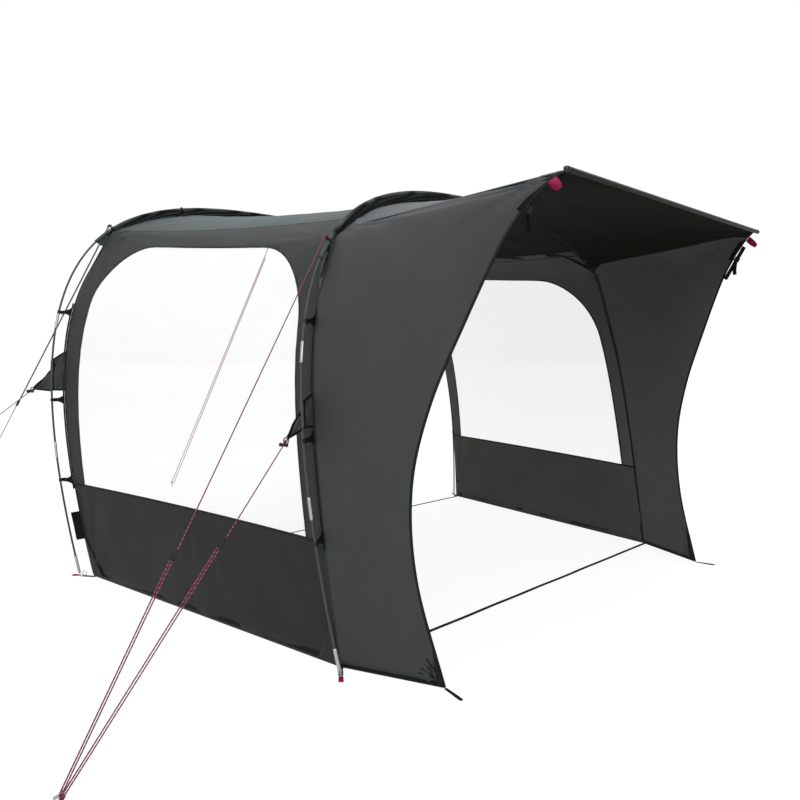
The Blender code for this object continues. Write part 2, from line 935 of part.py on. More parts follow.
def wall_outline():
    start, end = TUNNEL_U[0], TUNNEL_U[-1]
    window = window_arch(-SEAM)
    window[0] = (window[0][0], kick_top(window[0][0]) + SEAM_T)
    window[-1] = (window[-1][0], kick_top(window[-1][0]) + SEAM_T)
    seam = [(u, roof_seam(u) - SEAM_T) for u in TUNNEL_U]
    inner_foot, outer_foot = kick_top(start) + SEAM_T, kick_top(end) + SEAM_T
    return (
        [(start, inner_foot), *window, (end, outer_foot)]
        + [(end, t) for t in OUTER.steps(outer_foot, seam[-1][1])[1:-1]]
        + seam[::-1]
        + [(start, t) for t in INNER.steps(inner_foot, seam[0][1])[-2:0:-1]]
    )


def window_outline():
    window = window_arch(SEAM)
    first, last = window[0][0], window[-1][0]
    window[0] = (first, kick_top(first) + SEAM_T)
    window[-1] = (last, kick_top(last) + SEAM_T)
    foot = [(u, kick_top(u) + SEAM_T) for u in TUNNEL_U if first + 0.01 < u < last - 0.01]
    return window + foot[::-1]


def add_tunnel():
    for side, name in SIDES:

        def surface(u, t, side=side):
            return tunnel(side, u, t)

        rows = (TUNNEL_U, TUNNEL_T)
        panel(f"{name}_kick_panel", surface, kick_outline(), TUNNEL_SCALE, rows, kick_cloth())
        panel(f"{name}_wall", surface, wall_outline(), TUNNEL_SCALE, rows, wall_cloth())
        panel(f"{name}_window", surface, window_outline(), TUNNEL_SCALE, rows, clear_film())

    def roof(u, v):
        return tunnel(-1 if v < 0 else 1, u, 1 - abs(v))

    start, end = TUNNEL_U[0], TUNNEL_U[-1]
    inner_side = [t - 1 for t in INNER.steps(roof_seam(start) + SEAM_T, 1.0)]
    outer_side = [t - 1 for t in OUTER.steps(roof_seam(end) + SEAM_T, 1.0)]
    near = [(u, roof_seam(u) + SEAM_T - 1) for u in TUNNEL_U]
    outline = (
        near
        + [(end, v) for v in outer_side[1:]]
        + [(end, -v) for v in outer_side[-2:0:-1]]
        + [(u, -v) for u, v in near[::-1]]
        + [(start, -v) for v in inner_side[1:]]
        + [(start, v) for v in inner_side[-2:0:-1]]
    )
    rows = (TUNNEL_U, [t - 1 for t in TUNNEL_T] + [1 - t for t in TUNNEL_T[:-1]])
    panel("roof", roof, outline, TUNNEL_SCALE, rows, roof_cloth())


FOLD = FABRIC / 2 + GAP
CANOPY_SIDE_GAP = 1.3 * FOLD
WING_SCALE = (0.9, 1.9)
CANOPY_SCALE = (1.1, 1.1)


def wing_outline():
    low, high = HEM_LIFT / WING_SCALE[1], 1 - 2 * FOLD / WING_SCALE[1]
    near = 2 * SEAM / WING_SCALE[0]
    edge = [low, *[k / WING_EDGE_STEPS for k in range(1, WING_EDGE_STEPS)], high]
    arch = [t / CANOPY_SHARE for t in INNER.steps(low * CANOPY_SHARE, high * CANOPY_SHARE)]
    hem = spread_rows(near, 1, 0.25)
    return (
        [(a, low) for a in hem]
        + [(1, b) for b in edge[1:-1]]
        + [(a, high) for a in hem[::-1]]
        + [(near, b) for b in arch[-2:0:-1]]
    )


def add_wings_and_canopy():
    for side, name in SIDES:

        def surface(a, b, side=side):
            return wing(side, a, b)

        rows = (spread_rows(0, 1, 0.2), [t / CANOPY_SHARE for t in TUNNEL_T])
        panel(f"{name}_wing", surface, wing_outline(), WING_SCALE, rows, wall_cloth())
    start = SEAM / CANOPY_SCALE[0]
    width = 1 - CANOPY_SIDE_GAP / CANOPY_SCALE[1]
    span = 1 - CANOPY_SHARE
    arch = [(t - 1) / span for t in INNER.steps(1 - width * span, 1.0)]
    arch += [-w for w in arch[-2::-1]]
    sides = spread_rows(start, 1, 0.2)
    bar = spread_rows(-width, width, 0.25)
    outline = (
        [(a, -width) for a in sides]
        + [(1, w) for w in bar[1:-1]]
        + [(a, width) for a in sides[::-1]]
        + [(start, w) for w in arch[-2:0:-1]]
    )
    rows = (sides, arch)
    panel("canopy", canopy, outline, CANOPY_SCALE, rows, roof_cloth())


# Poles, sleeves and clips


class Pole:
    """An arch of rods joined by ferrules, with what its sleeve, clips and feet need."""

    def __init__(self, name, arch, fabric, rod, first, sleeve_from, clip_heights):
        self.name, self.arch, self.fabric = name, arch, fabric
        self.path = arch.path()
        self.sleeve_from, self.sleeve_share = sleeve_from, arch.at_height(sleeve_from)
        self.clip_heights = clip_heights
        half = []
        s = first
        while s < self.path.length / 2 - rod / 3:
            half.append(s)
            s += rod
        self.joints = half + [self.path.length - s for s in half[::-1]]

    def length_at(self, side, t):
        """The length of the path at a share of one side."""
        place = t * ARCH_STEPS
        k = min(int(place), ARCH_STEPS - 1)
        low, high = self.path.lengths[k], self.path.lengths[k + 1]
        s = low + (high - low) * (place - k)
        return s if side < 0 else self.path.length - s

    def foot(self, side):
        """The pole's end on the ground and the way up it."""
        start = 0.0 if side < 0 else self.path.length
        here = self.path.at(start)
        return here, unit(self.path.at(0.01 if side < 0 else start - 0.01) - here)

    def profile(self):
        """Lengths and radii of the rods, ferrules and foot tubes, from hole to hole."""
        bore = PIN_RADIUS + GAP
        start = [
            (FOOT_TUBE_FROM + FOOT_BORE_DEPTH, bore),
            (FOOT_TUBE_FROM, bore),
            (FOOT_TUBE_FROM, FOOT_TUBE_RADIUS),
            (FOOT_TUBE_FROM + FOOT_TUBE_LENGTH, FOOT_TUBE_RADIUS),
            (FOOT_TUBE_FROM + FOOT_TUBE_LENGTH, ROD_RADIUS),
        ]
        middle = []
        for s in self.joints:
            low, high = s - FERRULE_LENGTH / 2, s + FERRULE_LENGTH / 2
            middle += [(low, ROD_RADIUS), (low, FERRULE_RADIUS)]
            middle += [(high, FERRULE_RADIUS), (high, ROD_RADIUS)]
        return start + middle + [(self.path.length - s, r) for s, r in start[::-1]]

    def sleeve(self):
        """The cloth tube round the pole with the web that hangs the roof from it."""
        shares = self.arch.steps(self.sleeve_share, 1.0)
        places = [(-1, t) for t in shares] + [(1, t) for t in shares[-2::-1]]
        spine, feet = [], []
        for side, t in places:
            top, bottom = self.arch.point(side, t), self.fabric.point(side, t)
            spine.append(top)
            feet.append(bottom + unit(top - bottom) * (FABRIC / 2 + 2 * GAP))
        return keyhole(spine, feet, SLEEVE_RADIUS, SLEEVE_BORE, SLEEVE_WALL)

    def edge(self, side, height, out):
        """A place on the fabric's edge, moved towards the pole, and the pole beside it."""
        t = self.fabric.at_height(height)
        edge, pole = self.fabric.point(side, t), self.arch.point(side, t)
        return edge + unit(pole - edge) * out, pole

    def clip_tape(self, side):
        """The tape on the fabric's edge that the clips are sewn to."""
        lowest = self.clip_heights[0] - CLIP_TAPE_ENDS
        highest = self.clip_heights[-1] + CLIP_TAPE_ENDS
        start, end = self.fabric.at_height(lowest), self.fabric.at_height(highest)
        low = FABRIC / 2 + 2 * GAP
        heights = [self.fabric.half(t)[1] for t in self.fabric.steps(start, end)]
        return ribbon(
            [self.edge(side, z, low)[0] for z in heights],
            [self.edge(side, z, low + CLIP_TAPE_WIDTH)[0] for z in heights],
            WEBBING,
        )

    def clips(self, side):
        """Hooks round the pole, each on a fan of webbing that ends inside the tape."""
        half, spread = CLIP_LENGTH / 2, CLIP_SPREAD / 2
        outer = ROD_RADIUS + GAP + CLIP_WALL
        middle = FABRIC / 2 + 2 * GAP + CLIP_WEB_TUCK
        shapes = []
        for height in self.clip_heights:
            s = self.length_at(side, self.fabric.at_height(height))
            spine = self.path.between(s - half, s + half)
            here = self.path.at(s)
            feet = []
            for point in spine:
                move = math.copysign((point - here).length, point.z - here.z) / half * spread
                feet.append(self.edge(side, height + move, middle)[0])
            shapes.append(keyhole(spine, feet, outer, ROD_RADIUS + GAP, CLIP_WEB))
        return shapes

    def loop(self, side, up_sleeve):
        """An elastic loop round the sleeve, drawn out to a tip on the side away from the web."""
        t = self.arch.at_height(self.sleeve_from + up_sleeve)
        here = self.arch.point(side, t)
        up = self.path.direction(self.length_at(side, t))
        down = self.fabric.point(side, t) - here
        down = unit(down - down.dot(up) * up)
        beside = up.cross(down)
        radius = SLEEVE_RADIUS * ROUND_FLATS + 3 * GAP + LOOP_WIRE
        start = math.asin((SLEEVE_WALL / 2 + 2 * GAP + LOOP_WIRE) / radius)
        middle = math.pi
        open_half = math.acos((radius - LOOP_TIP_RADIUS) / LOOP_REACH)
        turns = [
            (start, middle - open_half, radius, 0),
            (middle - open_half, middle + open_half, LOOP_TIP_RADIUS, LOOP_REACH),
            (middle + open_half, 2 * math.pi - start, radius, 0),
        ]
        points = []
        for first, last, size, reach in turns:
            steps = max(2, round((last - first) / (2 * math.pi) * LOOP_STEPS))
            for k in range(steps + 1):
                turn = first + (last - first) * k / steps
                out = math.cos(turn) * down + math.sin(turn) * beside
                points.append(here - down * reach + out * size)
        return tube(points, LOOP_WIRE, side=up, sides=6)

    def gusset(self, side, reach, base, clearance, direction):
        """A gusset: a cuff on the pole and a triangle that points along a guyline."""
        height = self.clip_heights[1] + (CLIP_SPREAD + base) / 2 + clearance
        s = self.path.at_height(height)
        s = s if side < 0 else self.path.length - s
        spine = self.path.between(s - base / 2, s) + self.path.between(s, s + base / 2)[1:]
        middle = self.path.at(s)
        cuff = ROD_RADIUS + GAP + GUSSET_SLEEVE_WALL
        feet = []
        for point in spine:
            share = 1 - (point - middle).length / (base / 2)
            feet.append(point + direction * max(cuff + GUSSET_FOOT, reach * share))
        return keyhole(spine, feet, cuff, ROD_RADIUS + GAP, FABRIC)


INNER_FRAME = Pole(
    "inner", INNER_POLE, INNER, INNER_ROD_LENGTH, INNER_FIRST_JOINT, INNER_SLEEVE_FROM,
    INNER_CLIP_HEIGHTS,
)
OUTER_FRAME = Pole(
    "outer", OUTER_POLE, OUTER, OUTER_ROD_LENGTH, OUTER_FIRST_JOINT, OUTER_SLEEVE_FROM,
    OUTER_CLIP_HEIGHTS,
)
FRAMES = (INNER_FRAME, OUTER_FRAME)


def add_poles():
    for frame in FRAMES:
        rods = turned(frame.path, frame.profile(), frame.arch.side)
        solid(f"{frame.name}_pole", [rods], pole_fibre())
        solid(f"{frame.name}_sleeve", [frame.sleeve()], roof_cloth())
        for side, name in SIDES:
            clips = solid(f"{name}_{frame.name}_leg_clips", [frame.clip_tape(side)],
                          black_plastic())
            join(clips, frame.clips(side))


def line_direction(line):
    return unit(Vector(line[1]) - Vector(line[0]))


def add_gussets_and_loops():
    """Where the guylines start: gussets at mid leg and loops on the sleeves."""
    gussets = (
        (INNER_FRAME, INNER_GUSSET_REACH, INNER_GUSSET_BASE, INNER_GUSSET_CLEARANCE, GUSSET_LINE),
        (OUTER_FRAME, OUTER_GUSSET_REACH, OUTER_GUSSET_BASE, OUTER_GUSSET_CLEARANCE, STORM_LINE),
    )
    for frame, reach, base, clearance, line in gussets:
        shape = frame.gusset(-1, reach, base, clearance, line_direction(line))
        solid(f"near_{frame.name}_gusset", [shape], black_webbing())
    solid("shoulder_loop", [INNER_FRAME.loop(-1, INNER_LOOP_UP)], crimson_cord())
    solid("outer_loop", [OUTER_FRAME.loop(-1, OUTER_LOOP_UP)], crimson_cord())


# Feet and ground straps

RING_HEIGHT = WEBBING + GAP + FOOT_RING_WIRE


def add_feet():
    """Ring-and-pin feet, the peg loops on their rings and the straps between them."""
    for frame in FRAMES:
        strap = []
        for side, name in SIDES:
            here, up = frame.foot(side)
            corner = frame.fabric.point(side, 0)
            inward = unit(Vector((corner.x - here.x, corner.y - here.y, 0)))
            hoop = here + up * RING_HEIGHT + inward * FOOT_RING_RADIUS
            hoop.z = RING_HEIGHT
            pin = turned(Path([here, here + up * PIN_LENGTH]), pin_profile(), frame.arch.side,
                         sides=8)
            pin_node = solid(f"{name}_{frame.name}_pin", [pin], silver_metal())
            join(pin_node, [ring(hoop, (0, 0, 1), FOOT_RING_RADIUS, FOOT_RING_WIRE,
                                 steps=FOOT_RING_SIDES)])
            hinge = hoop - inward * (FOOT_RING_RADIUS + PIN_RADIUS + 3 * GAP)
            add_peg_loop(f"{name}_{frame.name}_peg_loop", hinge, -inward, PEG_LOOP_LENGTH,
                         WEBBING_WIDTH, crimson_webbing())
            run = [hoop, corner] if side < 0 else [corner, hoop]
            strap += [Vector((p.x, p.y, WEBBING / 2)) for p in run]
        solid(f"{frame.name}_ground_strap", [flat_strip(strap, WEBBING_WIDTH, WEBBING)],
              black_webbing())
    for side, name in SIDES:
        tip = wing_corners(side)[1]
        out = unit((side * WING_LOOP_SPLAY, -1, 0))
        hinge = tip + out * 2 * GAP
        hinge.z = HEM_LIFT + WEBBING / 2
        add_peg_loop(f"{name}_wing_peg_loop", hinge, out, WING_LOOP_LENGTH, WING_LOOP_WIDTH,
                     black_webbing())


def pin_profile():
    """Lengths and radii of a pin with the collar that the foot tube stands on."""
    return (
        (PIN_FROM, PIN_RADIUS),
        (PIN_COLLAR_FROM, PIN_RADIUS),
        (PIN_COLLAR_FROM, PIN_COLLAR_RADIUS),
        (FOOT_TUBE_FROM - GAP, PIN_COLLAR_RADIUS),
        (FOOT_TUBE_FROM - GAP, PIN_RADIUS),
        (PIN_LENGTH, PIN_RADIUS),
    )


def add_peg_loop(name, hinge, out, length, width, finish):
    """A flat loop of webbing that swings up about the edge it hangs from."""
    centre = hinge + out * length / 2
    shape = block(centre, (length, width, WEBBING), out, across(out))
    solid(name, [shape], finish, origin=hinge)


def flat_strip(points, width, thickness):
    """A strip that lies flat and follows corners in plan."""
    left, right = [], []
    for i, point in enumerate(points):
        pair = points[max(i - 1, 0) : i + 2]
        turns = [across(b - a) for a, b in zip(pair, pair[1:])]
        mean = unit(sum(turns, Vector()))
        reach = width / 2 / mean.dot(turns[0])
        left.append(point + mean * reach)
        right.append(point - mean * reach)
    return ribbon(left, right, thickness)


# Van bar, tabs and tension straps


def add_van_bar():
    side = (0, 1, 0)
    tip = BAR_HALF + BAR_CAP_LENGTH
    bar = Path([Vector((-tip, BAR_Y, BAR_HEIGHT)), Vector((tip, BAR_Y, BAR_HEIGHT))])
    profile = [(0, BAR_CAP_RADIUS), (BAR_CAP_LENGTH, BAR_CAP_RADIUS), (BAR_CAP_LENGTH, BAR_RADIUS)]
    profile += [(bar.length - s, r) for s, r in profile[::-1]]
    solid("van_bar", [turned(bar, profile, side, sides=12)], pole_fibre())
    ends = [(x, BAR_Y, BAR_HEIGHT) for x in (-BAR_SLEEVE_HALF, BAR_SLEEVE_HALF)]
    sleeve = tube(ends, SLEEVED_BAR, bore=BAR_RADIUS + GAP, side=side, sides=12)
    solid("bar_sleeve", [sleeve], wall_cloth())


def on_edge(side, below_bar):
    """The place on a wing's free edge at a drop below the bar, and the way along the edge."""
    edge = FRONT_EDGES[side]
    height = BAR_HEIGHT - below_bar
    k = next(k for k in range(1, len(edge)) if edge[k].z > height)
    share = (height - edge[k - 1].z) / (edge[k].z - edge[k - 1].z)
    return edge[k - 1].lerp(edge[k], share), unit(edge[k] - edge[k - 1])


def add_tabs():
    """Webbing tabs hinged on the wings' free edges near the bar."""
    half, tip, shoulder = TAB_WIDTH / 2, TAB_TIP_WIDTH / 2, TAB_LENGTH - TAB_TAPER
    for side, name in SIDES:
        edge, wide = on_edge(side, TAB_BELOW_BAR)
        down = Vector((0, -math.cos(TAB_SLOPE), -math.sin(TAB_SLOPE)))
        down = unit(down - down.dot(wide) * wide)
        hinge = edge + down * (FABRIC / 2 + 2 * GAP)
        outline = ((-half, 0), (half, 0), (half, shoulder), (tip, TAB_LENGTH),
                   (-tip, TAB_LENGTH), (-half, shoulder))
        corners = [hinge + wide * x + down * y for x, y in outline]
        solid(f"{name}_bar_tab", [prism(corners, TAB_THICKNESS)], crimson_webbing(),
              origin=hinge)


def strap_line(side):
    """The tension strap's ends, the way across its width and the way along it."""
    start, end = on_edge(side, EDGE_STRAP_FOOT)[0], on_edge(side, EDGE_STRAP_TOP)[0]
    run = unit(end - start)
    vanward = Vector((0, -1, 0))
    wide = unit(vanward - vanward.dot(run) * run)
    offset = wide * (EDGE_STRAP_WIDTH / 2 + FABRIC / 2 + 2 * GAP - STRAP_TUCK)
    return start + offset, end + offset, wide, run


def add_edge_straps():
    """Tension straps along the wings' free edges, with a buckle that slides on each."""
    for side, name in SIDES:
        start, end, wide, run = strap_line(side)
        size = ((end - start).length, EDGE_STRAP_WIDTH, WEBBING)
        solid(f"{name}_edge_strap", [block((start + end) / 2, size, run, wide)],
              black_webbing())
        centre = start.lerp(end, BUCKLE_AT)
        slot_width = EDGE_STRAP_WIDTH + 4 * GAP
        outer = (BUCKLE_LENGTH, slot_width + 2 * BUCKLE_BAR, BUCKLE_HEIGHT)
        buckle = solid(f"{name}_strap_buckle", [block(centre, outer, run, wide)],
                       black_plastic(), origin=centre)
        slot = (2 * BUCKLE_LENGTH, slot_width, WEBBING + 2 * GAP)
        cut(buckle, [block(centre, slot, run, wide)])


def add_zip_sliders():
    """A slider on each window's inner edge, inside the awning."""
    u = window_side_u(False, 0) - SLIDER_BESIDE / ARCH_SPACING
    for side, name in SIDES:
        ends = []
        for z in (SLIDER_AT, SLIDER_AT + SLIDER_TRAVEL):
            t = at_height(u, z)
            here = tunnel(side, u, t)
            normal = unit(
                (tunnel(side, u + 0.02, t) - here).cross(tunnel(side, u, t + 0.02) - here)
            )
            if normal.x * side > 0:
                normal.negate()
            ends.append((here, normal))
        (low, inward), (high, _) = ends
        up = unit(high - low)
        inward = unit(inward - inward.dot(up) * up)
        start = FABRIC / 2 + SLIDER_GAP
        top, foot = SLIDER_LENGTH / 2, -SLIDER_LENGTH / 2
        outline = (
            (top, start),
            (top, start + SLIDER_DEPTH),
            (foot - PULL_LENGTH, start + SLIDER_DEPTH),
            (foot - PULL_LENGTH, start + SLIDER_DEPTH - PULL_DEPTH),
            (foot, start + SLIDER_DEPTH - PULL_DEPTH),
            (foot, start),
        )
        corners = [low + up * y + inward * d for y, d in outline]
        solid(f"{name}_zip_slider", [prism(corners, SLIDER_WIDTH)], black_plastic(), origin=low)


def add_label():
    """A bare flag label that hinges on the seam at the near wall's outer edge."""
    low = OUTER.point(-1, OUTER.at_height(LABEL_LOW))
    high = OUTER.point(-1, OUTER.at_height(LABEL_LOW + LABEL_HEIGHT))
    middle = (low + high) / 2
    up = unit(high - low)
    out = OUTER_POLE.point(-1, OUTER.at_height(middle.z)) - middle
    out = unit(out - out.dot(up) * up)
    hinge = middle + out * FABRIC / 2
    centre = hinge + out * LABEL_REACH / 2
    size = (LABEL_REACH, (high - low).length, LABEL_THICKNESS)
    solid("flag_label", [block(centre, size, out, up)], black_webbing(), origin=hinge)


# Guylines


def guyline(name, points):
    """A taut line as a round cord with a filled cap at each end."""
    curve = bpy.data.curves.new(name, "CURVE")
    curve.dimensions = "3D"
    curve.bevel_depth = CORD_RADIUS
    curve.bevel_resolution = 2
    curve.use_fill_caps = True
    spline = curve.splines.new("POLY")
    spline.points.add(len(points) - 1)
    for made, point in zip(spline.points, points):
        made.co = (*point, 1)
    return add_object(name, curve, crimson_cord())


def straight(start, end):
    return [start.lerp(end, i / (CORD_POINTS - 1)) for i in range(CORD_POINTS)]


def runner(name, line, share):
    """A slider that grips its line: the main strand runs through, the return is tied on."""
    start, end = Vector(line[0]), Vector(line[1])
    run = line_direction(line)
    wide = across(run)
    centre = start.lerp(end, share) + wide * TWIN
    body = solid(name, [block(centre, RUNNER_SIZE, wide, run)], black_plastic(), origin=centre)
    reach = run * RUNNER_SIZE[1]
    cut(body, [tube([centre - wide * TWIN - reach, centre - wide * TWIN + reach], RUNNER_BORE)])
    return centre, run, wide


def add_peg(name, line, beside=0, back=0):
    """A peg's head above the ground, with its nose away from the awning.

    It stands just past the end of its line, or beside it and back along it.
    """
    start, end = Vector(line[0]), Vector(line[1])
    level = unit(Vector((end.x - start.x, end.y - start.y, 0)))
    foot = Vector((end.x, end.y, 0)) + across(level) * beside
    foot += level * (CORD_RADIUS - back)
    up = Vector((0, 0, 1))
    neck = PEG_HEIGHT - PEG_WIDTH
    outline = ((0, 0), (PEG_WIDTH, 0), (PEG_WIDTH, neck), (PEG_WIDTH + PEG_NOSE, neck),
               (PEG_WIDTH + PEG_NOSE, PEG_HEIGHT), (0, PEG_HEIGHT))
    corners = [foot + level * x + up * z for x, z in outline]
    solid(name, [prism(corners, PEG_THICKNESS)], silver_metal())


def add_guylines():
    for name, line, share, upward in (
        ("shoulder", SHOULDER_LINE, SHOULDER_RUNNER_AT, False),
        ("gusset", GUSSET_LINE, GUSSET_RUNNER_AT, False),
        ("outer", OUTER_LINE, OUTER_RUNNER_AT, True),
    ):
        start, end = Vector(line[0]), Vector(line[1])
        guyline(f"{name}_guyline", straight(start, end))
        centre, run, wide = runner(f"{name}_runner", line, share)
        tied = centre + wide * TWIN
        reach = run * (RUNNER_SIZE[1] / 2 + GAP)
        strand = [start + wide * 2 * TWIN, tied - reach] if upward else [
            tied + reach, end + wide * 2 * TWIN]
        guyline(f"{name}_guyline_return", straight(*strand))
    guyline("storm_guyline", straight(Vector(STORM_LINE[0]), Vector(STORM_LINE[1])))
    add_centre_guyline()
    add_peg("shoulder_peg", SHOULDER_LINE, beside=TWIN, back=PEG_WIDTH)
    add_peg("storm_peg", STORM_LINE)
    add_peg("outer_peg", OUTER_LINE)
    add_peg("centre_peg", CENTRE_LINE)


def add_centre_guyline():
    """One cord from the crown down, round its peg and back up to where it is tied."""
    start, end = Vector(CENTRE_LINE[0]), Vector(CENTRE_LINE[1])
    wide = across(line_direction(CENTRE_LINE))
    tied = start.lerp(end, CENTRE_RETURN_AT) + wide * 2 * TWIN
    turn = []
    level = unit(Vector((end.x - start.x, end.y - start.y, 0)))
    past = end + level * (PEG_WIDTH + GAP + 2 * CORD_RADIUS - TURN_DEPTH)
    for i in range(TURN_STEPS + 1):
        angle = math.pi * i / TURN_STEPS
        turn.append(
            past - wide * CENTRE_SPREAD * math.cos(angle)
            + level * TURN_DEPTH * math.sin(angle)
        )
    down = straight(start, end - wide * CENTRE_SPREAD)
    back = straight(end + wide * CENTRE_SPREAD, tied)
    guyline("centre_guyline", down + turn + back)


def main():
    for old in list(bpy.data.objects):
        bpy.data.objects.remove(old, do_unlink=True)
    add_tunnel()
    add_wings_and_canopy()
    add_poles()
    add_gussets_and_loops()
    add_feet()
    add_van_bar()
    add_tabs()
    add_edge_straps()
    add_zip_sliders()
    add_label()
    add_guylines()
    bpy.context.view_layer.update()


main()
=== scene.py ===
"""A campervan awning: its looks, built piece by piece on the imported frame."""

from __future__ import annotations

import json
import logging
import math
from collections.abc import Callable, Sequence
from dataclasses import dataclass
from enum import Enum

import bmesh
import bpy
from mathutils import Vector, noise
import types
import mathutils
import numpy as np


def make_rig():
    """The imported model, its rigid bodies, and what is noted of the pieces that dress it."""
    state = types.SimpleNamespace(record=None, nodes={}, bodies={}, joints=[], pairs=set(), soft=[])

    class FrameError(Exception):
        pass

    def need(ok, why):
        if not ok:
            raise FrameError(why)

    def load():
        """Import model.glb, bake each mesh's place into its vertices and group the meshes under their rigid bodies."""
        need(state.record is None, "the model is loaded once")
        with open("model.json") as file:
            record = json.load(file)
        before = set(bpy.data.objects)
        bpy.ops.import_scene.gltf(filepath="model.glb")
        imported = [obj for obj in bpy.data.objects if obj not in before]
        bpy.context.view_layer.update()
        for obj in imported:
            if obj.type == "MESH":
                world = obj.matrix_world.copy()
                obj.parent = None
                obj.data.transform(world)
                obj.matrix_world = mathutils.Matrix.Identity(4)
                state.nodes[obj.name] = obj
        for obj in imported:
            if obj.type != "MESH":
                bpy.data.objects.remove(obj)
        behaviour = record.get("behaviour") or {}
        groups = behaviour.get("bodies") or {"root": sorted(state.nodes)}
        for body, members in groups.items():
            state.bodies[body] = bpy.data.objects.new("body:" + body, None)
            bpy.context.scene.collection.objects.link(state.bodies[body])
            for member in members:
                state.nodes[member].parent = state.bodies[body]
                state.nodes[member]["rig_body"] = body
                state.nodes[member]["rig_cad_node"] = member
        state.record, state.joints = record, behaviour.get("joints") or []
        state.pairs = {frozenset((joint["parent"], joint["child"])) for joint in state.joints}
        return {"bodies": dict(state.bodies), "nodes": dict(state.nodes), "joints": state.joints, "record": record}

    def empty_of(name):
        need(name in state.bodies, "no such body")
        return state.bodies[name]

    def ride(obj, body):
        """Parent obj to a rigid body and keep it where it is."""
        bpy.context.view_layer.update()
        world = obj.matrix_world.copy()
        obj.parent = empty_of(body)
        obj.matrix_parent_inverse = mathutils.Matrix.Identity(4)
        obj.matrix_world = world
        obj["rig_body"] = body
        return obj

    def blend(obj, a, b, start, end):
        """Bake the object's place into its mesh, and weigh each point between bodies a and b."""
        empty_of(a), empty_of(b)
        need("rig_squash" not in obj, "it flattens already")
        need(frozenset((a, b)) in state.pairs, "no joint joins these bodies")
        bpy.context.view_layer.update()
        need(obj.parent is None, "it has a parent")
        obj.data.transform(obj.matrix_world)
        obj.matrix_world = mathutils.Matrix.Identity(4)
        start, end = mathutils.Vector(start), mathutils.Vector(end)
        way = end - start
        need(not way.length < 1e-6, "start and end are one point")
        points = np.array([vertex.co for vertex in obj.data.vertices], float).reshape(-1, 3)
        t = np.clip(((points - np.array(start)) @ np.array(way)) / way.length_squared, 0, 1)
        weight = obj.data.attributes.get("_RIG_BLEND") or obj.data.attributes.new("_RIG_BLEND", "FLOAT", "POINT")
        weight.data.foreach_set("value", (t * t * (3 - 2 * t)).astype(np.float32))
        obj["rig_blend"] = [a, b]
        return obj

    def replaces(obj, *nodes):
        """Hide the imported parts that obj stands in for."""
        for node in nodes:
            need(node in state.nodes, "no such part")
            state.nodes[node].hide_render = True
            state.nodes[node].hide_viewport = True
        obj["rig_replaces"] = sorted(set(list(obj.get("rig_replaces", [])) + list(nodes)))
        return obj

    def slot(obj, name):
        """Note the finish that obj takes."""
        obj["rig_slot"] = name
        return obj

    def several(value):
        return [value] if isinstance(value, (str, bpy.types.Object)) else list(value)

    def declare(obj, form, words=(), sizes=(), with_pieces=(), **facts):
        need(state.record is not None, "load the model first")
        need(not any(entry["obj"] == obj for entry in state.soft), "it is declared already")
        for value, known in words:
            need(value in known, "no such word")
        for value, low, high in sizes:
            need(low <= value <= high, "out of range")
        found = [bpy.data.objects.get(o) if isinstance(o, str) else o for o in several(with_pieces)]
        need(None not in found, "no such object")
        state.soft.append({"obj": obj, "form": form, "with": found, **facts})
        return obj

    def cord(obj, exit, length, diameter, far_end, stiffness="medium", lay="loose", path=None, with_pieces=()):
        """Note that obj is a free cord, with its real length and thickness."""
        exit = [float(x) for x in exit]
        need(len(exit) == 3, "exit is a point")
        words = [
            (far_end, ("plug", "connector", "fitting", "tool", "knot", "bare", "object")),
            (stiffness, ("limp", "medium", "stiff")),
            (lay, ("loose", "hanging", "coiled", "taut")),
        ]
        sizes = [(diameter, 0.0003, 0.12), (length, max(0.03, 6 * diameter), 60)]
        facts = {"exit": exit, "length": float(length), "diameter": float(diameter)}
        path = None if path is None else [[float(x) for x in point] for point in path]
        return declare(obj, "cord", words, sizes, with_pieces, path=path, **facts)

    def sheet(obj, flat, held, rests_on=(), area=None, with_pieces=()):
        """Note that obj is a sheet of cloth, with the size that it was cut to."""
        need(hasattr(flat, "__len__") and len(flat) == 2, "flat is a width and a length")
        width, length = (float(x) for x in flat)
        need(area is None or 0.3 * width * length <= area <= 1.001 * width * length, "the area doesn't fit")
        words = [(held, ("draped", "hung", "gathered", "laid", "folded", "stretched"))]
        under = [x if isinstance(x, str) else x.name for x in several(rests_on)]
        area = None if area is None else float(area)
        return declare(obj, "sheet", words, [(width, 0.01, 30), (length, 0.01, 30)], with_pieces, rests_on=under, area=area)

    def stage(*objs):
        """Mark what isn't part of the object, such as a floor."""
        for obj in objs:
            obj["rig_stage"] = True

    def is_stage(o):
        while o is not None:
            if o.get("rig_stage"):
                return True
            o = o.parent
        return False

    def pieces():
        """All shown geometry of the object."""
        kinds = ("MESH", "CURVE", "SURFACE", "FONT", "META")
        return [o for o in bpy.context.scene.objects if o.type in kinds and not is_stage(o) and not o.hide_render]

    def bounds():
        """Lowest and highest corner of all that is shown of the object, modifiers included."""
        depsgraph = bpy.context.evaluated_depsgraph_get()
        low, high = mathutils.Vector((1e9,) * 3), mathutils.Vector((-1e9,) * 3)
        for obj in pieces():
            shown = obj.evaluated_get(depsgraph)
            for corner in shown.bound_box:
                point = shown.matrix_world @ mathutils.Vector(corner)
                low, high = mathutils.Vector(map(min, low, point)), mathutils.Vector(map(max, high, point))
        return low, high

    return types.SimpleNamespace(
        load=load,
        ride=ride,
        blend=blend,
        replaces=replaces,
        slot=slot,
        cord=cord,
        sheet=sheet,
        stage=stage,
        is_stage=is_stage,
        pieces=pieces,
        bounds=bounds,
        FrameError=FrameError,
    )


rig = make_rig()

LOG = logging.getLogger("awning")
ROOT = "root"
# the point attribute that carries the sleeve's painted pleat shade and highlight
PLEAT_SHADE = "pleat"

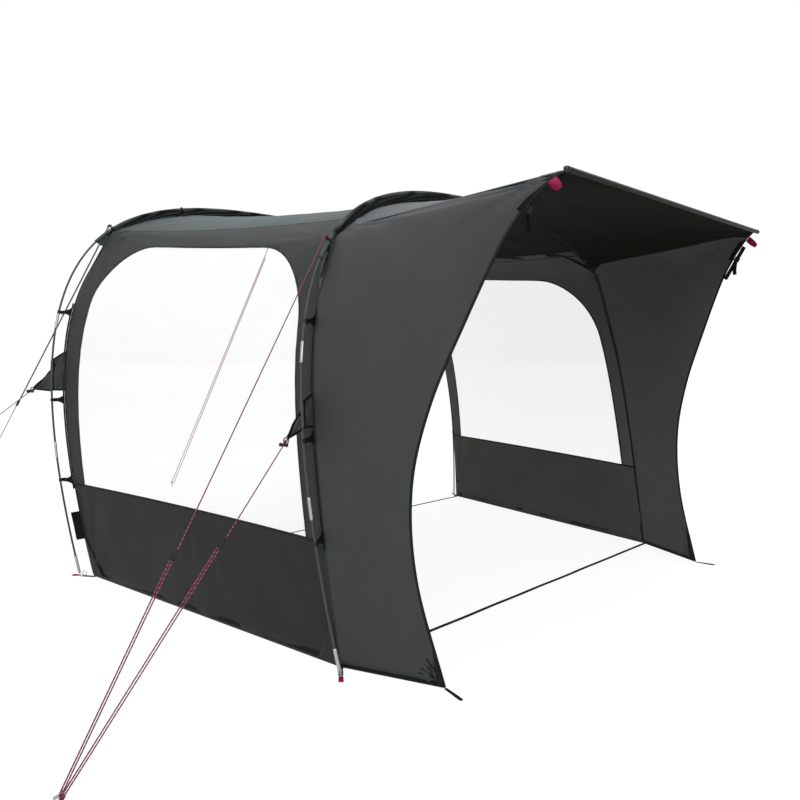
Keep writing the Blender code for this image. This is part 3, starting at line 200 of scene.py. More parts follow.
# an edge gives its point at a share of its length, and a place a surface's at two shares;
# a trail is a path with the direction out of its surface at each point
Pair = tuple[float, float]
Triple = tuple[float, float, float]
Edge = Callable[[float], Vector]
Place = Callable[[float, float], Vector]
Trail = Sequence[tuple[Vector, Vector]]
Piece = bpy.types.Object
Socket = bpy.types.NodeSocket
UP = Vector((0, 0, 1))


class Side(Enum):
    """The awning's two sides: near is the side with the guylines."""

    NEAR = -1
    FAR = 1

    @property
    def label(self) -> str:
        """The side's word in a piece's name."""
        return self.name.lower()


# Small vector helpers


def unit(vector: Vector | Sequence[float]) -> Vector:
    """The direction of a vector."""
    return Vector(vector).normalized()


def across(direction: Vector) -> Vector:
    """The level direction square to a direction."""
    return unit(Vector(direction).cross(UP))


def mix(low: float, high: float, share: float) -> float:
    """The value at a share of the way from one number to another."""
    return low + (high - low) * share


def soft_step(share: float) -> float:
    """A share from 0 to 1 eased at both ends."""
    share = min(max(share, 0.0), 1.0)
    return share * share * (3 - 2 * share)


def spread(start: float, end: float, count: int) -> list[float]:
    """Evenly spaced values with both ends among them."""
    return [mix(start, end, k / count) for k in range(count + 1)]


def last_before(holds: Callable[[float], bool], low: float, high: float,
                steps: int = 40) -> float:
    """The last value of a span at which a test still holds, found by halving."""
    for _ in range(steps):
        middle = (low + high) / 2
        low, high = (middle, high) if holds(middle) else (low, middle)
    return low


def spline_through(points: Sequence[Sequence[float]], steps: int) -> list[Vector]:
    """Points on a smooth cubic curve through the given ones.

    Args:
        points: what the curve passes through.
        steps: how many spans the returned row has.

    Returns:
        The row of points, evenly spaced in parameter.
    """
    held = [Vector(p) for p in points]
    held = [2 * held[0] - held[1], *held, 2 * held[-1] - held[-2]]
    made = []
    for i in range(steps + 1):
        place = i * (len(held) - 3) / steps
        k = min(int(place), len(held) - 4)
        t = place - k
        a, b, c, d = held[k : k + 4]
        made.append(
            0.5
            * (2 * b + (c - a) * t + (2 * a - 5 * b + 4 * c - d) * t * t
               + (3 * b - a - 3 * c + d) * t**3)
        )
    return made


class Run:
    """A row of points measured by length from its start."""

    def __init__(self, points: Sequence[Vector]) -> None:
        """Keeps the points and the length at each."""
        self.points = [Vector(p) for p in points]
        self.lengths = [0.0]
        for a, b in zip(self.points, self.points[1:]):
            self.lengths.append(self.lengths[-1] + (b - a).length)
        self.length = self.lengths[-1]

    def at(self, length: float) -> Vector:
        """The point at a length from the start."""
        length = min(max(length, 0.0), self.length)
        low, high = 0, len(self.lengths) - 1
        while high - low > 1:
            middle = (low + high) // 2
            low, high = (middle, high) if self.lengths[middle] <= length else (low, middle)
        span = self.lengths[high] - self.lengths[low]
        return self.points[low].lerp(self.points[high], (length - self.lengths[low]) / span)

    def ahead(self, length: float) -> Vector:
        """The way along the run at a length."""
        return unit(self.at(length + 1e-3) - self.at(length - 1e-3))

    def stretch(self, start: float, end: float, count: int) -> list[Vector]:
        """Evenly spaced points from one length to another."""
        return [self.at(s) for s in spread(start, end, count)]


# The awning's lines


@dataclass(frozen=True)
class Arch:
    """A symmetric arch in a leaning plane, a cubic with handles from foot to crown."""

    foot: float
    leg: Pair
    shoulder: float
    crown: float
    foot_y: float
    lean: float

    def half(self, t: float) -> Pair:
        """The half width and the height at a share of the way from foot to crown."""
        handles = ((self.foot, 0.0), self.leg, (self.shoulder, self.crown), (0.0, self.crown))
        a, b, c, d = handles
        s = 1 - t
        return tuple(
            s**3 * a[i] + 3 * s * s * t * b[i] + 3 * s * t * t * c[i] + t**3 * d[i]
            for i in (0, 1)
        )

    def point(self, side: int, t: float) -> Vector:
        """The point at a share of one side."""
        x, z = self.half(t)
        return Vector((side * x, self.foot_y + self.lean * z, z))

    def at_height(self, z: float) -> float:
        """The share at which the arch reaches a height."""
        return last_before(lambda t: self.half(t)[1] < z, 0.0, 1.0)

    def whole(self) -> Run:
        """The arch from its near foot to its far one."""
        near = [self.point(-1, t) for t in spread(0.0, 1.0, 96)]
        return Run(near + [Vector((-p.x, p.y, p.z)) for p in near[-2::-1]])

    @property
    def square(self) -> Vector:
        """The direction square to the arch's plane, away from the van."""
        return unit((0, 1, -self.lean))


@dataclass(frozen=True)
class ClothArch(Arch):
    """An arch of cloth that a loop draws up to its pole at each shoulder."""

    pole: Arch
    below: float
    loop: float
    at_crown: float
    at_loop: float = 0.82
    fade: float = 0.075

    def pull(self, t: float) -> float:
        """How far the cloth is drawn to the pole, as a share of the way there."""
        if t <= self.below:
            return 0.0
        if t <= self.loop:
            return self.at_loop * ((t - self.below) / (self.loop - self.below)) ** 1.6
        return mix(self.at_crown, self.at_loop, math.exp((self.loop - t) / self.fade))

    def point(self, side: int, t: float) -> Vector:
        """The point at a share of one side."""
        return super().point(side, t).lerp(self.pole.point(side, t), self.pull(t))


def pole_over(cloth: Arch, foot: float, leg: Pair, shoulder: float,
              rise: float, offset: float) -> Arch:
    """The arch of a pole that stands outside a cloth arch.

    Args:
        cloth: the cloth's arch.
        foot: the pole's half width on the ground.
        leg: the handle of its leg.
        shoulder: the half width of the handle at its crown.
        rise: how far its crown is above the cloth's.
        offset: how far its foot is from the cloth's, away from the van.

    Returns:
        The pole's arch.
    """
    crown = cloth.crown + rise
    foot_y = cloth.foot_y + offset
    lean = (cloth.foot_y + cloth.lean * cloth.crown - foot_y) / crown
    return Arch(foot, leg, shoulder, crown, foot_y, lean)


# the fitted measures, in metres; a share runs from 0 to 1 along what its docstring names
SPACING = 1.866
INNER_LINE = (1.303, (1.375, 1.689), 1.225, 1.993, 0.0, 0.165)
OUTER_LINE = (1.563, (1.891, 2.161), 1.046, 2.180, SPACING, 0.170)
INNER_POLE = pole_over(Arch(*INNER_LINE), 1.352, (1.605, 2.023), 0.844, 0.089, -0.062)
OUTER_POLE = pole_over(Arch(*OUTER_LINE), 1.613, (1.956, 2.164), 1.130, 0.0745, 0.070)
INNER = ClothArch(*INNER_LINE, INNER_POLE, 0.40, 0.50, 0.48)
OUTER = ClothArch(*OUTER_LINE, OUTER_POLE, 0.42, 0.54, 0.38)
SADDLE = 0.015
RIDGE_SAG = 0.030
KICK = (0.500, 0.530)
ROOF_SEAM = (1.800, 1.980)
CANOPY_SHARE = INNER.at_height(1.720)
OUTER_SECOND_LOOP = 0.745
WING_TIP = (1.134, -0.416)
WING_EDGE = (
    (1.168, -0.295, 0.400),
    (1.166, -0.267, 0.750),
    (1.129, -0.327, 1.067),
    (1.066, -0.449, 1.390),
    (1.001, -0.581, 1.692),
    (0.950, -0.693, 1.847),
)
BAR = Vector((0.0, -0.773, 1.903))
BAR_HALF = 0.915
BAR_SLEEVE_HALF = 0.905

# thicknesses, and how far from a sheet's edge its slack and its folds come to full height
CLOTH = 0.0011
TAPE = 0.0008
SLACK_FADE = 0.22
FOLD_FADE = 0.03

# points inside the tunnel and inside the van end, for telling a surface's outer face
INSIDE = Vector((0.0, 0.9, 1.0))
VAN_INSIDE = Vector((0.0, -0.25, 1.0))


def tunnel(side: int, u: float, t: float) -> Vector:
    """The tunnel's cloth: u from the inner arch to the outer, t from foot to crown."""
    point = INNER.point(side, t).lerp(OUTER.point(side, t), u)
    inward = unit(Vector((0, point.y, 0.45 * INNER.crown)) - point)
    hollow = SADDLE + RIDGE_SAG * mix(INNER.pull(t), OUTER.pull(t), u)
    return point + inward * hollow * 4 * u * (1 - u) * math.sin(
        math.pi / 2 * min(1.0, t / 0.2))


def cloth_height(u: float, z: float) -> float:
    """The share at which the tunnel's cloth reaches a height."""
    return last_before(lambda t: tunnel(1, u, t).z < z, 0.0, 1.0, 30)


def kick_top(u: float) -> float:
    """The share at which the kick panel ends."""
    return mix(INNER.at_height(KICK[0]), OUTER.at_height(KICK[1]), u)


def roof_seam(u: float) -> float:
    """The share at which the roof begins."""
    return mix(INNER.at_height(ROOF_SEAM[0]), OUTER.at_height(ROOF_SEAM[1]), u)


def wing_corners(side: int) -> tuple[Vector, Vector, Vector, Vector]:
    """A wing's foot, its tip, and the ends of its top seam."""
    tip = Vector((side * WING_TIP[0], WING_TIP[1], 0))
    top = Vector((side * BAR_SLEEVE_HALF, BAR.y + 0.011, BAR.z))
    return INNER.point(side, 0), tip, INNER.point(side, CANOPY_SHARE), top


def wing_edge(side: int) -> Run:
    """A wing's free edge from its tip to the bar's corner."""
    _, tip, _, top = wing_corners(side)
    middle = [(side * x, y, z) for x, y, z in WING_EDGE]
    return Run(spline_through([tip, *middle, top], 70))


EDGES = {side.value: wing_edge(side.value) for side in Side}


def between(low: Edge, high: Edge, start: Edge, end: Edge, a: float, b: float) -> Vector:
    """The point of a smooth surface between four edges, at a share of each way."""
    ruled = low(a).lerp(high(a), b) + start(b).lerp(end(b), a)
    return ruled - low(0).lerp(low(1), a).lerp(high(0).lerp(high(1), a), b)


def share_of(run: Run, share: float) -> Vector:
    """The point at a share of a run, in the run's own parameter."""
    place = min(max(share, 0.0), 1.0) * (len(run.points) - 1)
    k = min(int(place), len(run.points) - 2)
    return run.points[k].lerp(run.points[k + 1], place - k)


def wing(side: int, a: float, b: float) -> Vector:
    """A wing's cloth: a from the inner arch to the free edge, b from hem to seam."""
    foot, tip, seam, top = wing_corners(side)
    return between(
        lambda s: foot.lerp(tip, s),
        lambda s: seam.lerp(top, s),
        lambda s: INNER.point(side, s * CANOPY_SHARE),
        lambda s: share_of(EDGES[side], s),
        a, b,
    )


def canopy(a: float, b: float) -> Vector:
    """The canopy's cloth: a from the inner arch to the bar, b from near to far."""
    _, _, near_seam, near_top = wing_corners(-1)
    _, _, far_seam, far_top = wing_corners(1)

    def arch(s: float) -> Vector:
        """The inner arch between the wings' seams."""
        v = (2 * s - 1) * (1 - CANOPY_SHARE)
        return INNER.point(-1 if v < 0 else 1, 1 - abs(v))

    return between(
        lambda s: near_seam.lerp(near_top, s),
        lambda s: far_seam.lerp(far_top, s),
        arch,
        lambda s: near_top.lerp(far_top, s),
        a, b,
    )


# Finishes

# a wave texture's bands are this many metres apart at a scale of 1
BAND_SCALE = 0.314


class Nodes:
    """The nodes of a material or world, added one at a time before its own shader."""

    def __init__(self, owner: bpy.types.Material | bpy.types.World, surface: str) -> None:
        """Turns the owner's nodes on and finds its shader by name."""
        owner.use_nodes = True
        self.nodes = owner.node_tree.nodes
        self.links = owner.node_tree.links
        self.surface = self.nodes[surface]

    def set(self, **values: float | tuple[float, ...]) -> None:
        """Sets the shader's own sockets, with _ for a space in a socket's name."""
        for name, value in values.items():
            self.surface.inputs[name.replace("_", " ")].default_value = value

    def add(self, kind: str, inputs: dict[str, object] | None = None,
            **settings: object) -> bpy.types.Node:
        """Adds a node.

        Args:
            kind: the node's type without ShaderNode.
            inputs: numbers or output sockets by socket name.
            settings: the node's own settings.

        Returns:
            The node.
        """
        node = self.nodes.new("ShaderNode" + kind)
        for name, value in settings.items():
            setattr(node, name, value)
        for name, value in (inputs or {}).items():
            socket = node.inputs[name]
            if isinstance(value, Socket):
                self.links.new(value, socket)
            else:
                socket.default_value = value
        return node

    def feed(self, name: str, value: Socket) -> None:
        """Links a value to one of the shader's own sockets."""
        self.links.new(value, self.surface.inputs[name])

    def math(self, operation: str, *values: float | Socket) -> Socket:
        """The result of one sum."""
        return self.add("Math", dict(enumerate(values)), operation=operation).outputs[0]

    def seen(self) -> Socket:
        """1 where the camera looks, also by way of gloss or clear film, and 0 elsewhere."""
        path = self.add("LightPath").outputs
        rays = path["Is Camera Ray"]
        for name in ("Is Glossy Ray", "Is Transmission Ray"):
            rays = self.math("MAXIMUM", rays, path[name])
        return rays


class Shader(Nodes):
    """A Principled material with helpers for textures."""

    def __init__(self, name: str) -> None:
        """Makes the material."""
        self.material = bpy.data.materials.new(name)
        super().__init__(self.material, "Principled BSDF")

    def coordinates(self, which: str, scale: Triple = (1, 1, 1)) -> Socket:
        """Object or UV coordinates, stretched."""
        source = self.add("TexCoord").outputs[which]
        return self.add("Mapping", {"Vector": source, "Scale": scale}).outputs["Vector"]

    def noise(self, where: Socket, scale: float, detail: float, **more: float) -> Socket:
        """Cloudy noise; more sets its Roughness or Distortion."""
        inputs = {"Vector": where, "Scale": scale, "Detail": detail, **more}
        return self.add("TexNoise", inputs).outputs["Fac"]

    def bands(self, where: Socket, pitch: float, direction: str,
              distortion: float = 0.0) -> Socket:
        """Soft bands with a pitch in metres, across a direction."""
        inputs = {"Vector": where, "Scale": BAND_SCALE / pitch, "Distortion": distortion}
        return self.add("TexWave", inputs, bands_direction=direction).outputs["Fac"]

    def shades(self, dark: tuple[float, ...], light: tuple[float, ...],
               factor: Socket, low: float = 0.3,
               high: float = 0.7) -> Socket:
        """Paints the surface between two colours by a factor, and returns the colour."""
        ramp = self.add("ValToRGB", {"Fac": factor})
        ramp.color_ramp.elements[0].position = low
        ramp.color_ramp.elements[1].position = high
        ramp.color_ramp.elements[0].color = (*dark, 1)
        ramp.color_ramp.elements[1].color = (*light, 1)
        self.feed("Base Color", ramp.outputs["Color"])
        return ramp.outputs["Color"]

    def relief(self, height: Socket, distance: float, strength: float = 1.0,
               under: bpy.types.Node | None = None) -> bpy.types.Node:
        """Raises the surface by a height, over an earlier relief if one is given."""
        inputs: dict[str, object] = {"Height": height, "Distance": distance,
                                     "Strength": strength}
        if under is not None:
            inputs["Normal"] = under.outputs["Normal"]
        bump = self.add("Bump", inputs)
        self.feed("Normal", bump.outputs["Normal"])
        return bump


@dataclass(frozen=True)
class Finish:
    """What every finish has: a name, a colour and a roughness."""

    name: str
    colour: Triple
    roughness: float = 0.6

    def material(self) -> bpy.types.Material:
        """The finish's material, made once."""
        made = bpy.data.materials.get(self.name)
        if made:
            return made
        shader = Shader(self.name)
        shader.set(Base_Color=(*self.colour, 1), Roughness=self.roughness)
        self.dress(shader)
        return shader.material

    def dress(self, shader: Shader) -> None:
        """Adds the finish's texture."""
        raise NotImplementedError

    def tint(self, share: float) -> Triple:
        """The colour made lighter or darker."""
        return tuple(min(1.0, c * share) for c in self.colour)


@dataclass(frozen=True)
class Cloth(Finish):
    """Coated woven cloth with a fine weave and soft creases."""

    pitch: float = 0.0011
    crease: float = 0.006
    gloss: float = 1.0

    def dress(self, shader: Shader) -> None:
        """Weave on the sheet's own map, creases and shade on object coordinates."""
        shader.set(Specular_IOR_Level=0.20 * self.gloss, Sheen_Weight=0.05 * self.gloss,
                   Sheen_Roughness=0.4)
        flat = shader.coordinates("UV")
        threads = [shader.bands(flat, self.pitch, way, 0.4) for way in "XY"]
        weave = shader.math("MULTIPLY", *threads)
        space = shader.coordinates("Object", (1.0, 1.0, 0.55))
        folds = shader.noise(space, 3.2, 3.0, Roughness=0.45, Distortion=0.7)
        tone = shader.noise(space, 1.6, 5.0, Roughness=0.55)
        shader.shades(self.tint(0.90), self.tint(1.10), tone)
        creased = shader.relief(folds, self.crease)
        shader.relief(weave, 0.00025, 0.5, creased)


@dataclass(frozen=True)
class PleatedCloth(Cloth):
    """Cloth drawn into pleats, with painted shade down in each one and a painted highlight on each crest."""

    def dress(self, shader: Shader) -> None:
        """The cloth's own texture, darkened by painted shade in each pleat's hollow and lightened by a painted
        highlight on its crest.
        """
        super().dress(shader)
        depth = shader.add("Attribute", attribute_name=PLEAT_SHADE).outputs["Fac"]
        # the pleat value becomes painted shade, near black in the hollows, and a painted highlight on the crests
        shade = shader.add("MapRange", {"Value": depth, "From Min": -0.8, "From Max": 1.0,
                                        "To Min": 0.02, "To Max": 1.15}).outputs["Result"]
        plain = shader.surface.inputs["Base Color"].links[0].from_socket
        deep = shader.add("VectorMath", {0: plain, "Scale": shade}, operation="SCALE")
        shader.feed("Base Color", deep.outputs[0])


@dataclass(frozen=True)
class Webbing(Finish):
    """Ribbed woven tape with a row of stitches near each edge."""

    thread: Triple = (0.030, 0.031, 0.031)
    stitch: float = 0.0045

    def dress(self, shader: Shader) -> None:
        """Ribs across the tape, a fleck in its colour and its stitches."""
        shader.set(Specular_IOR_Level=0.10)
        flat = shader.coordinates("UV")
        ribs = shader.bands(flat, 0.0016, "Y", 0.6)
        cords = shader.bands(flat, 0.0024, "X")
        weave = shader.math("ADD", ribs, cords)
        fleck = shader.noise(flat, 90.0, 4.0)
        tone = shader.shades(self.tint(0.75), self.tint(1.25), fleck)
        shader.relief(weave, 0.0004, 0.6)
        parts = shader.add("SeparateXYZ", {0: flat}).outputs
        inset = shader.math("COMPARE", parts["X"], 0.0022, 0.00035)
        along = shader.math("MULTIPLY", parts["Y"], 1 / self.stitch)
        dash = shader.math("LESS_THAN", shader.math("FRACT", along), 0.62)
        row = shader.math("MULTIPLY", inset, dash)
        sewn = shader.add("MixRGB", {"Fac": row, "Color1": tone, "Color2": (*self.thread, 1)})
        shader.feed("Base Color", sewn.outputs["Color"])


@dataclass(frozen=True)
class Plastic(Finish):
    """Moulded plastic with a fine grain."""

    def dress(self, shader: Shader) -> None:
        """A fine grain in the relief and a mottled colour."""
        shader.set(Specular_IOR_Level=0.30)
        space = shader.coordinates("Object")
        grain = shader.noise(space, 900.0, 2.0)
        wear = shader.noise(space, 40.0, 4.0)
        shader.shades(self.tint(0.85), self.tint(1.3), wear)
        shader.relief(grain, 0.0001, 0.5)


@dataclass(frozen=True)
class Metal(Finish):
    """Drawn metal with streaks along its length."""

    def dress(self, shader: Shader) -> None:
        """Streaks in colour and gloss."""
        shader.set(Metallic=1.0)
        space = shader.coordinates("Object", (1, 1, 0.06))
        streak = shader.noise(space, 700.0, 3.0)
        gloss = shader.add("MapRange", {
            "Value": streak, "To Min": self.roughness - 0.08, "To Max": self.roughness + 0.12})
        shader.feed("Roughness", gloss.outputs["Result"])
        shader.shades(self.tint(0.88), self.tint(1.08), streak)
        shader.relief(streak, 0.00008, 0.4)


@dataclass(frozen=True)
class Rod(Finish):
    """Glass-fibre rod under a satin lacquer."""

    def dress(self, shader: Shader) -> None:
        """Long fibres under the lacquer."""
        shader.set(Specular_IOR_Level=0.35, Coat_Weight=0.08, Coat_Roughness=0.3)
        space = shader.coordinates("Object", (1, 1, 0.03))
        fibres = shader.noise(space, 900.0, 3.0)
        shader.shades(self.tint(0.8), self.tint(1.25), fibres)
        shader.relief(fibres, 0.00006, 0.4)


@dataclass(frozen=True)
class Braid(Finish):
    """Braided cord with a lighter fleck."""

    fleck: Triple = (0.5, 0.3, 0.3)

    def dress(self, shader: Shader) -> None:
        """Slanting strands with a fleck now and then."""
        space = shader.coordinates("Object")
        strands = shader.bands(space, 0.0022, "DIAGONAL", 1.5)
        flecks = shader.bands(space, 0.012, "Z", 2.0)
        shader.shades(self.colour, self.fleck, flecks, 0.80, 0.97)
        shader.relief(strands, 0.0004, 0.7)


@dataclass(frozen=True)
class Film(Finish):
    """Hazy clear film with faint ripples."""

    alpha: float = 0.12

    def dress(self, shader: Shader) -> None:
        """Ripples that catch the light."""
        shader.set(Alpha=self.alpha, Specular_IOR_Level=0.5)
        space = shader.coordinates("Object", (1, 1, 1.6))
        ripple = shader.noise(space, 4.0, 2.0, Distortion=0.6)
        shader.shades(self.tint(0.97), self.tint(1.0), ripple)
        shader.relief(ripple, 0.010)


# the roof and the canopy are the same charcoal cloth as the walls and wings, painted lighter for the light that falls
# on their upturned faces: painted light
ROOF_CLOTH_PAINTED_LIT = Cloth("roof_cloth_finish", (0.0590, 0.0800, 0.0810), 0.62)
CANOPY_CLOTH_PAINTED_LIT = Cloth("canopy_cloth_finish", (0.094, 0.108, 0.113), 0.62)
WALL_CLOTH = Cloth("wall_cloth_finish", (0.0335, 0.0375, 0.0385), 0.68)
WING_CLOTH = Cloth("wing_cloth_finish", (0.051, 0.0555, 0.0575), 0.68)
BAR_CLOTH = Cloth("bar_cloth_finish", (0.009, 0.010, 0.009), 0.42, gloss=0.5)
# a pale strip on the bar's sleeve: a painted highlight
BAR_PAINTED_HIGHLIGHT = Cloth("bar_piping_finish", (0.110, 0.115, 0.112), 0.6)
# the sleeve's cloth, which gets painted shade in its pleats and a painted highlight on their crests
SLEEVE_CLOTH = PleatedCloth("sleeve_cloth_finish", (0.055, 0.069, 0.068), 0.68)
SEAM_CLOTH = Cloth("seam_cloth_finish", (0.066, 0.076, 0.080), 0.64)
ROOF_SEAM_CLOTH = Cloth("roof_seam_cloth_finish", (0.044, 0.056, 0.057), 0.64)
KICK_CLOTH = Cloth("kick_cloth_finish", (0.025, 0.025, 0.025), 0.72, crease=0.008)
# the inner faces of the kick panels, walls and wings are painted lighter than their outer faces, for light that shines
# through the cloth and in at the open end: painted light
KICK_LINING_PAINTED_LIGHT = Cloth("kick_lining_finish", (0.072, 0.072, 0.067), 0.78, crease=0.008)
WALL_LINING_PAINTED_LIGHT = Cloth("wall_lining_finish", (0.086, 0.086, 0.083), 0.8)
# the inner faces of the roof and the canopy are painted near black for the shade under them: painted shade
ROOF_LINING_PAINTED_SHADE = Cloth("roof_lining_finish", (0.012, 0.012, 0.009), 0.85, gloss=0.35)
CANOPY_LINING_PAINTED_SHADE = Cloth("canopy_lining_finish", (0.0140, 0.0135, 0.0100), 0.85, gloss=0.22)
PIPING = Webbing("piping_finish", (0.014, 0.016, 0.016), 0.6)
PIPING_CLOTH = Cloth("piping_cloth_finish", (0.040, 0.045, 0.046), 0.66)
SEAM_TAPE = Webbing("seam_tape_finish", (0.0065, 0.0065, 0.0070), 0.6, (0.018, 0.018, 0.018))
SOFT_TAPE = Webbing("soft_tape_finish", (0.033, 0.038, 0.039), 0.65)
EDGE_WEBBING = Webbing("edge_webbing_finish", (0.0038, 0.0038, 0.0042), 0.65,
                       (0.014, 0.014, 0.014))
CRIMSON_WEBBING = Webbing("crimson_webbing_finish", (0.275, 0.008, 0.058), 0.6,
                          (0.36, 0.03, 0.10))
BLACK_PLASTIC = Plastic("black_plastic_finish", (0.0060, 0.0060, 0.0066), 0.42)
ROD_FINISH = Rod("rod_finish", (0.045, 0.047, 0.046), 0.42)
SILVER = Metal("silver_finish", (0.42, 0.43, 0.44), 0.36)
CRIMSON_CORD = Braid("crimson_cord_finish", (0.150, 0.008, 0.030), 0.6, (0.27, 0.13, 0.15))
GREY_CORD = Braid("grey_cord_finish", (0.105, 0.085, 0.087), 0.6, (0.22, 0.18, 0.18))
PEACH_CORD = Braid("peach_cord_finish", (0.58, 0.29, 0.19), 0.6, (0.66, 0.40, 0.29))
FILM = Film("window_film_finish", (0.96, 0.965, 0.97), 0.10)


# Mesh helpers


def finished(name: str, bm: bmesh.types.BMesh, finish: Finish, lining: Finish | None = None,
             wall: float = 0.0, middle: Vector | None = None,
             centred: bool = False) -> Piece:
    """Turns a bmesh into a dressed piece that rides on nothing yet.

    Args:
        name: the piece's name.
        bm: its surface, which is freed.
        finish: the finish of its outer face.
        lining: the finish of its inner face, where that is another.
        wall: the thickness that the surface gets, inwards.
        middle: a point that the outer face looks away from.
        centred: whether the thickness is shared by both sides of the surface.

    Returns:
        The piece.
    """
    if middle is not None:
        bm.normal_update()
        looks = sum(f.normal.dot(f.calc_center_median() - middle) * f.calc_area()
                    for f in bm.faces)
        if looks < 0:
            bmesh.ops.reverse_faces(bm, faces=bm.faces)
    for face in bm.faces:
        face.smooth = True
    mesh = bpy.data.meshes.new(name)
    bm.to_mesh(mesh)
    bm.free()
    piece = bpy.data.objects.new(name, mesh)
    bpy.context.scene.collection.objects.link(piece)
    mesh.materials.append(finish.material())
    if lining:
        mesh.materials.append(lining.material())
    if wall:
        shell = piece.modifiers.new("wall", "SOLIDIFY")
        shell.thickness = wall
        shell.offset = 0 if centred else -1
        shell.material_offset = 1 if lining else 0
        shell.use_even_offset = False
    return piece


def lay_map(bm: bmesh.types.BMesh, flat: Callable[[bmesh.types.BMVert], Pair]) -> None:
    """Gives each corner of a surface its place on the finish's map, in metres."""
    layer = bm.loops.layers.uv.new("UVMap")
    for face in bm.faces:
        for loop in face.loops:
            loop[layer].uv = flat(loop.vert)


def laid_grid(cells: tuple[int, int], place: Place,
              flat: Callable[[float, float], Pair]) -> bmesh.types.BMesh:
    """A grid laid over a surface.

    Args:
        cells: how many cells it has each way.
        place: the point of the surface at two shares.
        flat: the place on the finish's map at two shares.

    Returns:
        The grid.
    """
    bm = bmesh.new()
    bmesh.ops.create_grid(bm, x_segments=cells[0], y_segments=cells[1], size=0.5)
    shares = {v: (v.co.x + 0.5, v.co.y + 0.5) for v in bm.verts}
    lay_map(bm, lambda v: flat(*shares[v]))
    for vert, (a, b) in shares.items():
        vert.co = place(a, b)
    return bm


def mapped(name: str, cells: tuple[int, int], place: Place, size: Pair, finish: Finish,
           wall: float = 0.0, middle: Vector | None = None, centred: bool = False,
           capped: bool = False) -> Piece:
    """A piece made of a grid laid over a surface.

    Args:
        name: the piece's name.
        cells: how many cells it has each way.
        place: the point of the surface at two shares.
        size: the cloth's flat size, for the weave.
        finish: its finish.
        wall: its thickness.
        middle: a point that the outer face looks away from.
        centred: whether the thickness goes both ways.
        capped: whether the second share closes on itself and the ends are filled.

    Returns:
        The piece.
    """
    bm = laid_grid(cells, place, lambda a, b: (a * size[0], b * size[1]))
    if capped:
        bmesh.ops.remove_doubles(bm, verts=bm.verts, dist=1e-6)
        bmesh.ops.holes_fill(bm, edges=[e for e in bm.edges if e.is_boundary], sides=0)
        bmesh.ops.recalc_face_normals(bm, faces=bm.faces)
    return finished(name, bm, finish, None, wall, middle, centred)


def carried(points: Sequence[Vector]) -> Trail:
    """Two directions square to a path at each of its points, turned as little as can be."""
    made: list[tuple[Vector, Vector]] = []
    first = None
    for i in range(len(points)):
        ahead = unit(points[min(i + 1, len(points) - 1)] - points[max(i - 1, 0)])
        if first is None:
            helper = UP if abs(ahead.z) < 0.9 else Vector((0, 1, 0))
            first = unit(ahead.cross(helper))
        first = unit(first - first.dot(ahead) * ahead)
        made.append((first, ahead.cross(first)))
    return made


def tube(name: str, points: Sequence[Vector], radius: float | Callable[[float], float],
         finish: Finish, sides: int = 14) -> Piece:
    """A round rod along points, with filled ends.

    Args:
        name: the piece's name.
        points: the rod's centre line.
        radius: its radius, or the radius at a share of its points.
        finish: its finish.
        sides: how many sides it has.

    Returns:
        The piece.
    """
    held = [Vector(p) for p in points]
    turns = carried(held)
    last = len(held) - 1

    def place(a: float, b: float) -> Vector:
        """The point at a share of the length and of the turn."""
        i = round(a * last)
        first, second = turns[i]
        here = radius(i / last) if callable(radius) else radius
        angle = 2 * math.pi * b
        return held[i] + (first * math.cos(angle) + second * math.sin(angle)) * here

    wide = radius(0.5) if callable(radius) else radius
    size = (Run(held).length, 2 * math.pi * wide)
    return mapped(name, (last, sides), place, size, finish, capped=True)


def looped(name: str, points: Sequence[Vector], radius: float, finish: Finish) -> Piece:
    """A round wire along a closed row of points."""
    held = [Vector(p) for p in points]
    count = len(held)
    middle = sum(held, Vector()) / count
    square = unit((held[0] - middle).cross(held[count // 4] - middle))

    def place(a: float, b: float) -> Vector:
        """The point at a share of the round and of the wire's turn."""
        i = round(a * count) % count
        ahead = unit(held[(i + 1) % count] - held[i - 1])
        out = unit(ahead.cross(square))
        angle = 2 * math.pi * b
        return held[i] + (out * math.cos(angle) + square * math.sin(angle)) * radius

    return mapped(name, (count, 10), place, (Run(held).length, 6.3 * radius), finish,
                  capped=True)


def cord_curve(name: str, points: Sequence[Vector], radius: float,
               finish: Finish) -> Piece:
    """A round cord along points, as a curve with filled ends."""
    curve = bpy.data.curves.new(name, "CURVE")
    curve.dimensions = "3D"
    curve.bevel_depth = radius
    curve.bevel_resolution = 3
    curve.use_fill_caps = True
    spline = curve.splines.new("POLY")
    spline.points.add(len(points) - 1)
    for made, point in zip(spline.points, points):
        made.co = (*point, 1)
    piece = bpy.data.objects.new(name, curve)
    bpy.context.scene.collection.objects.link(piece)
    curve.materials.append(finish.material())
    return piece


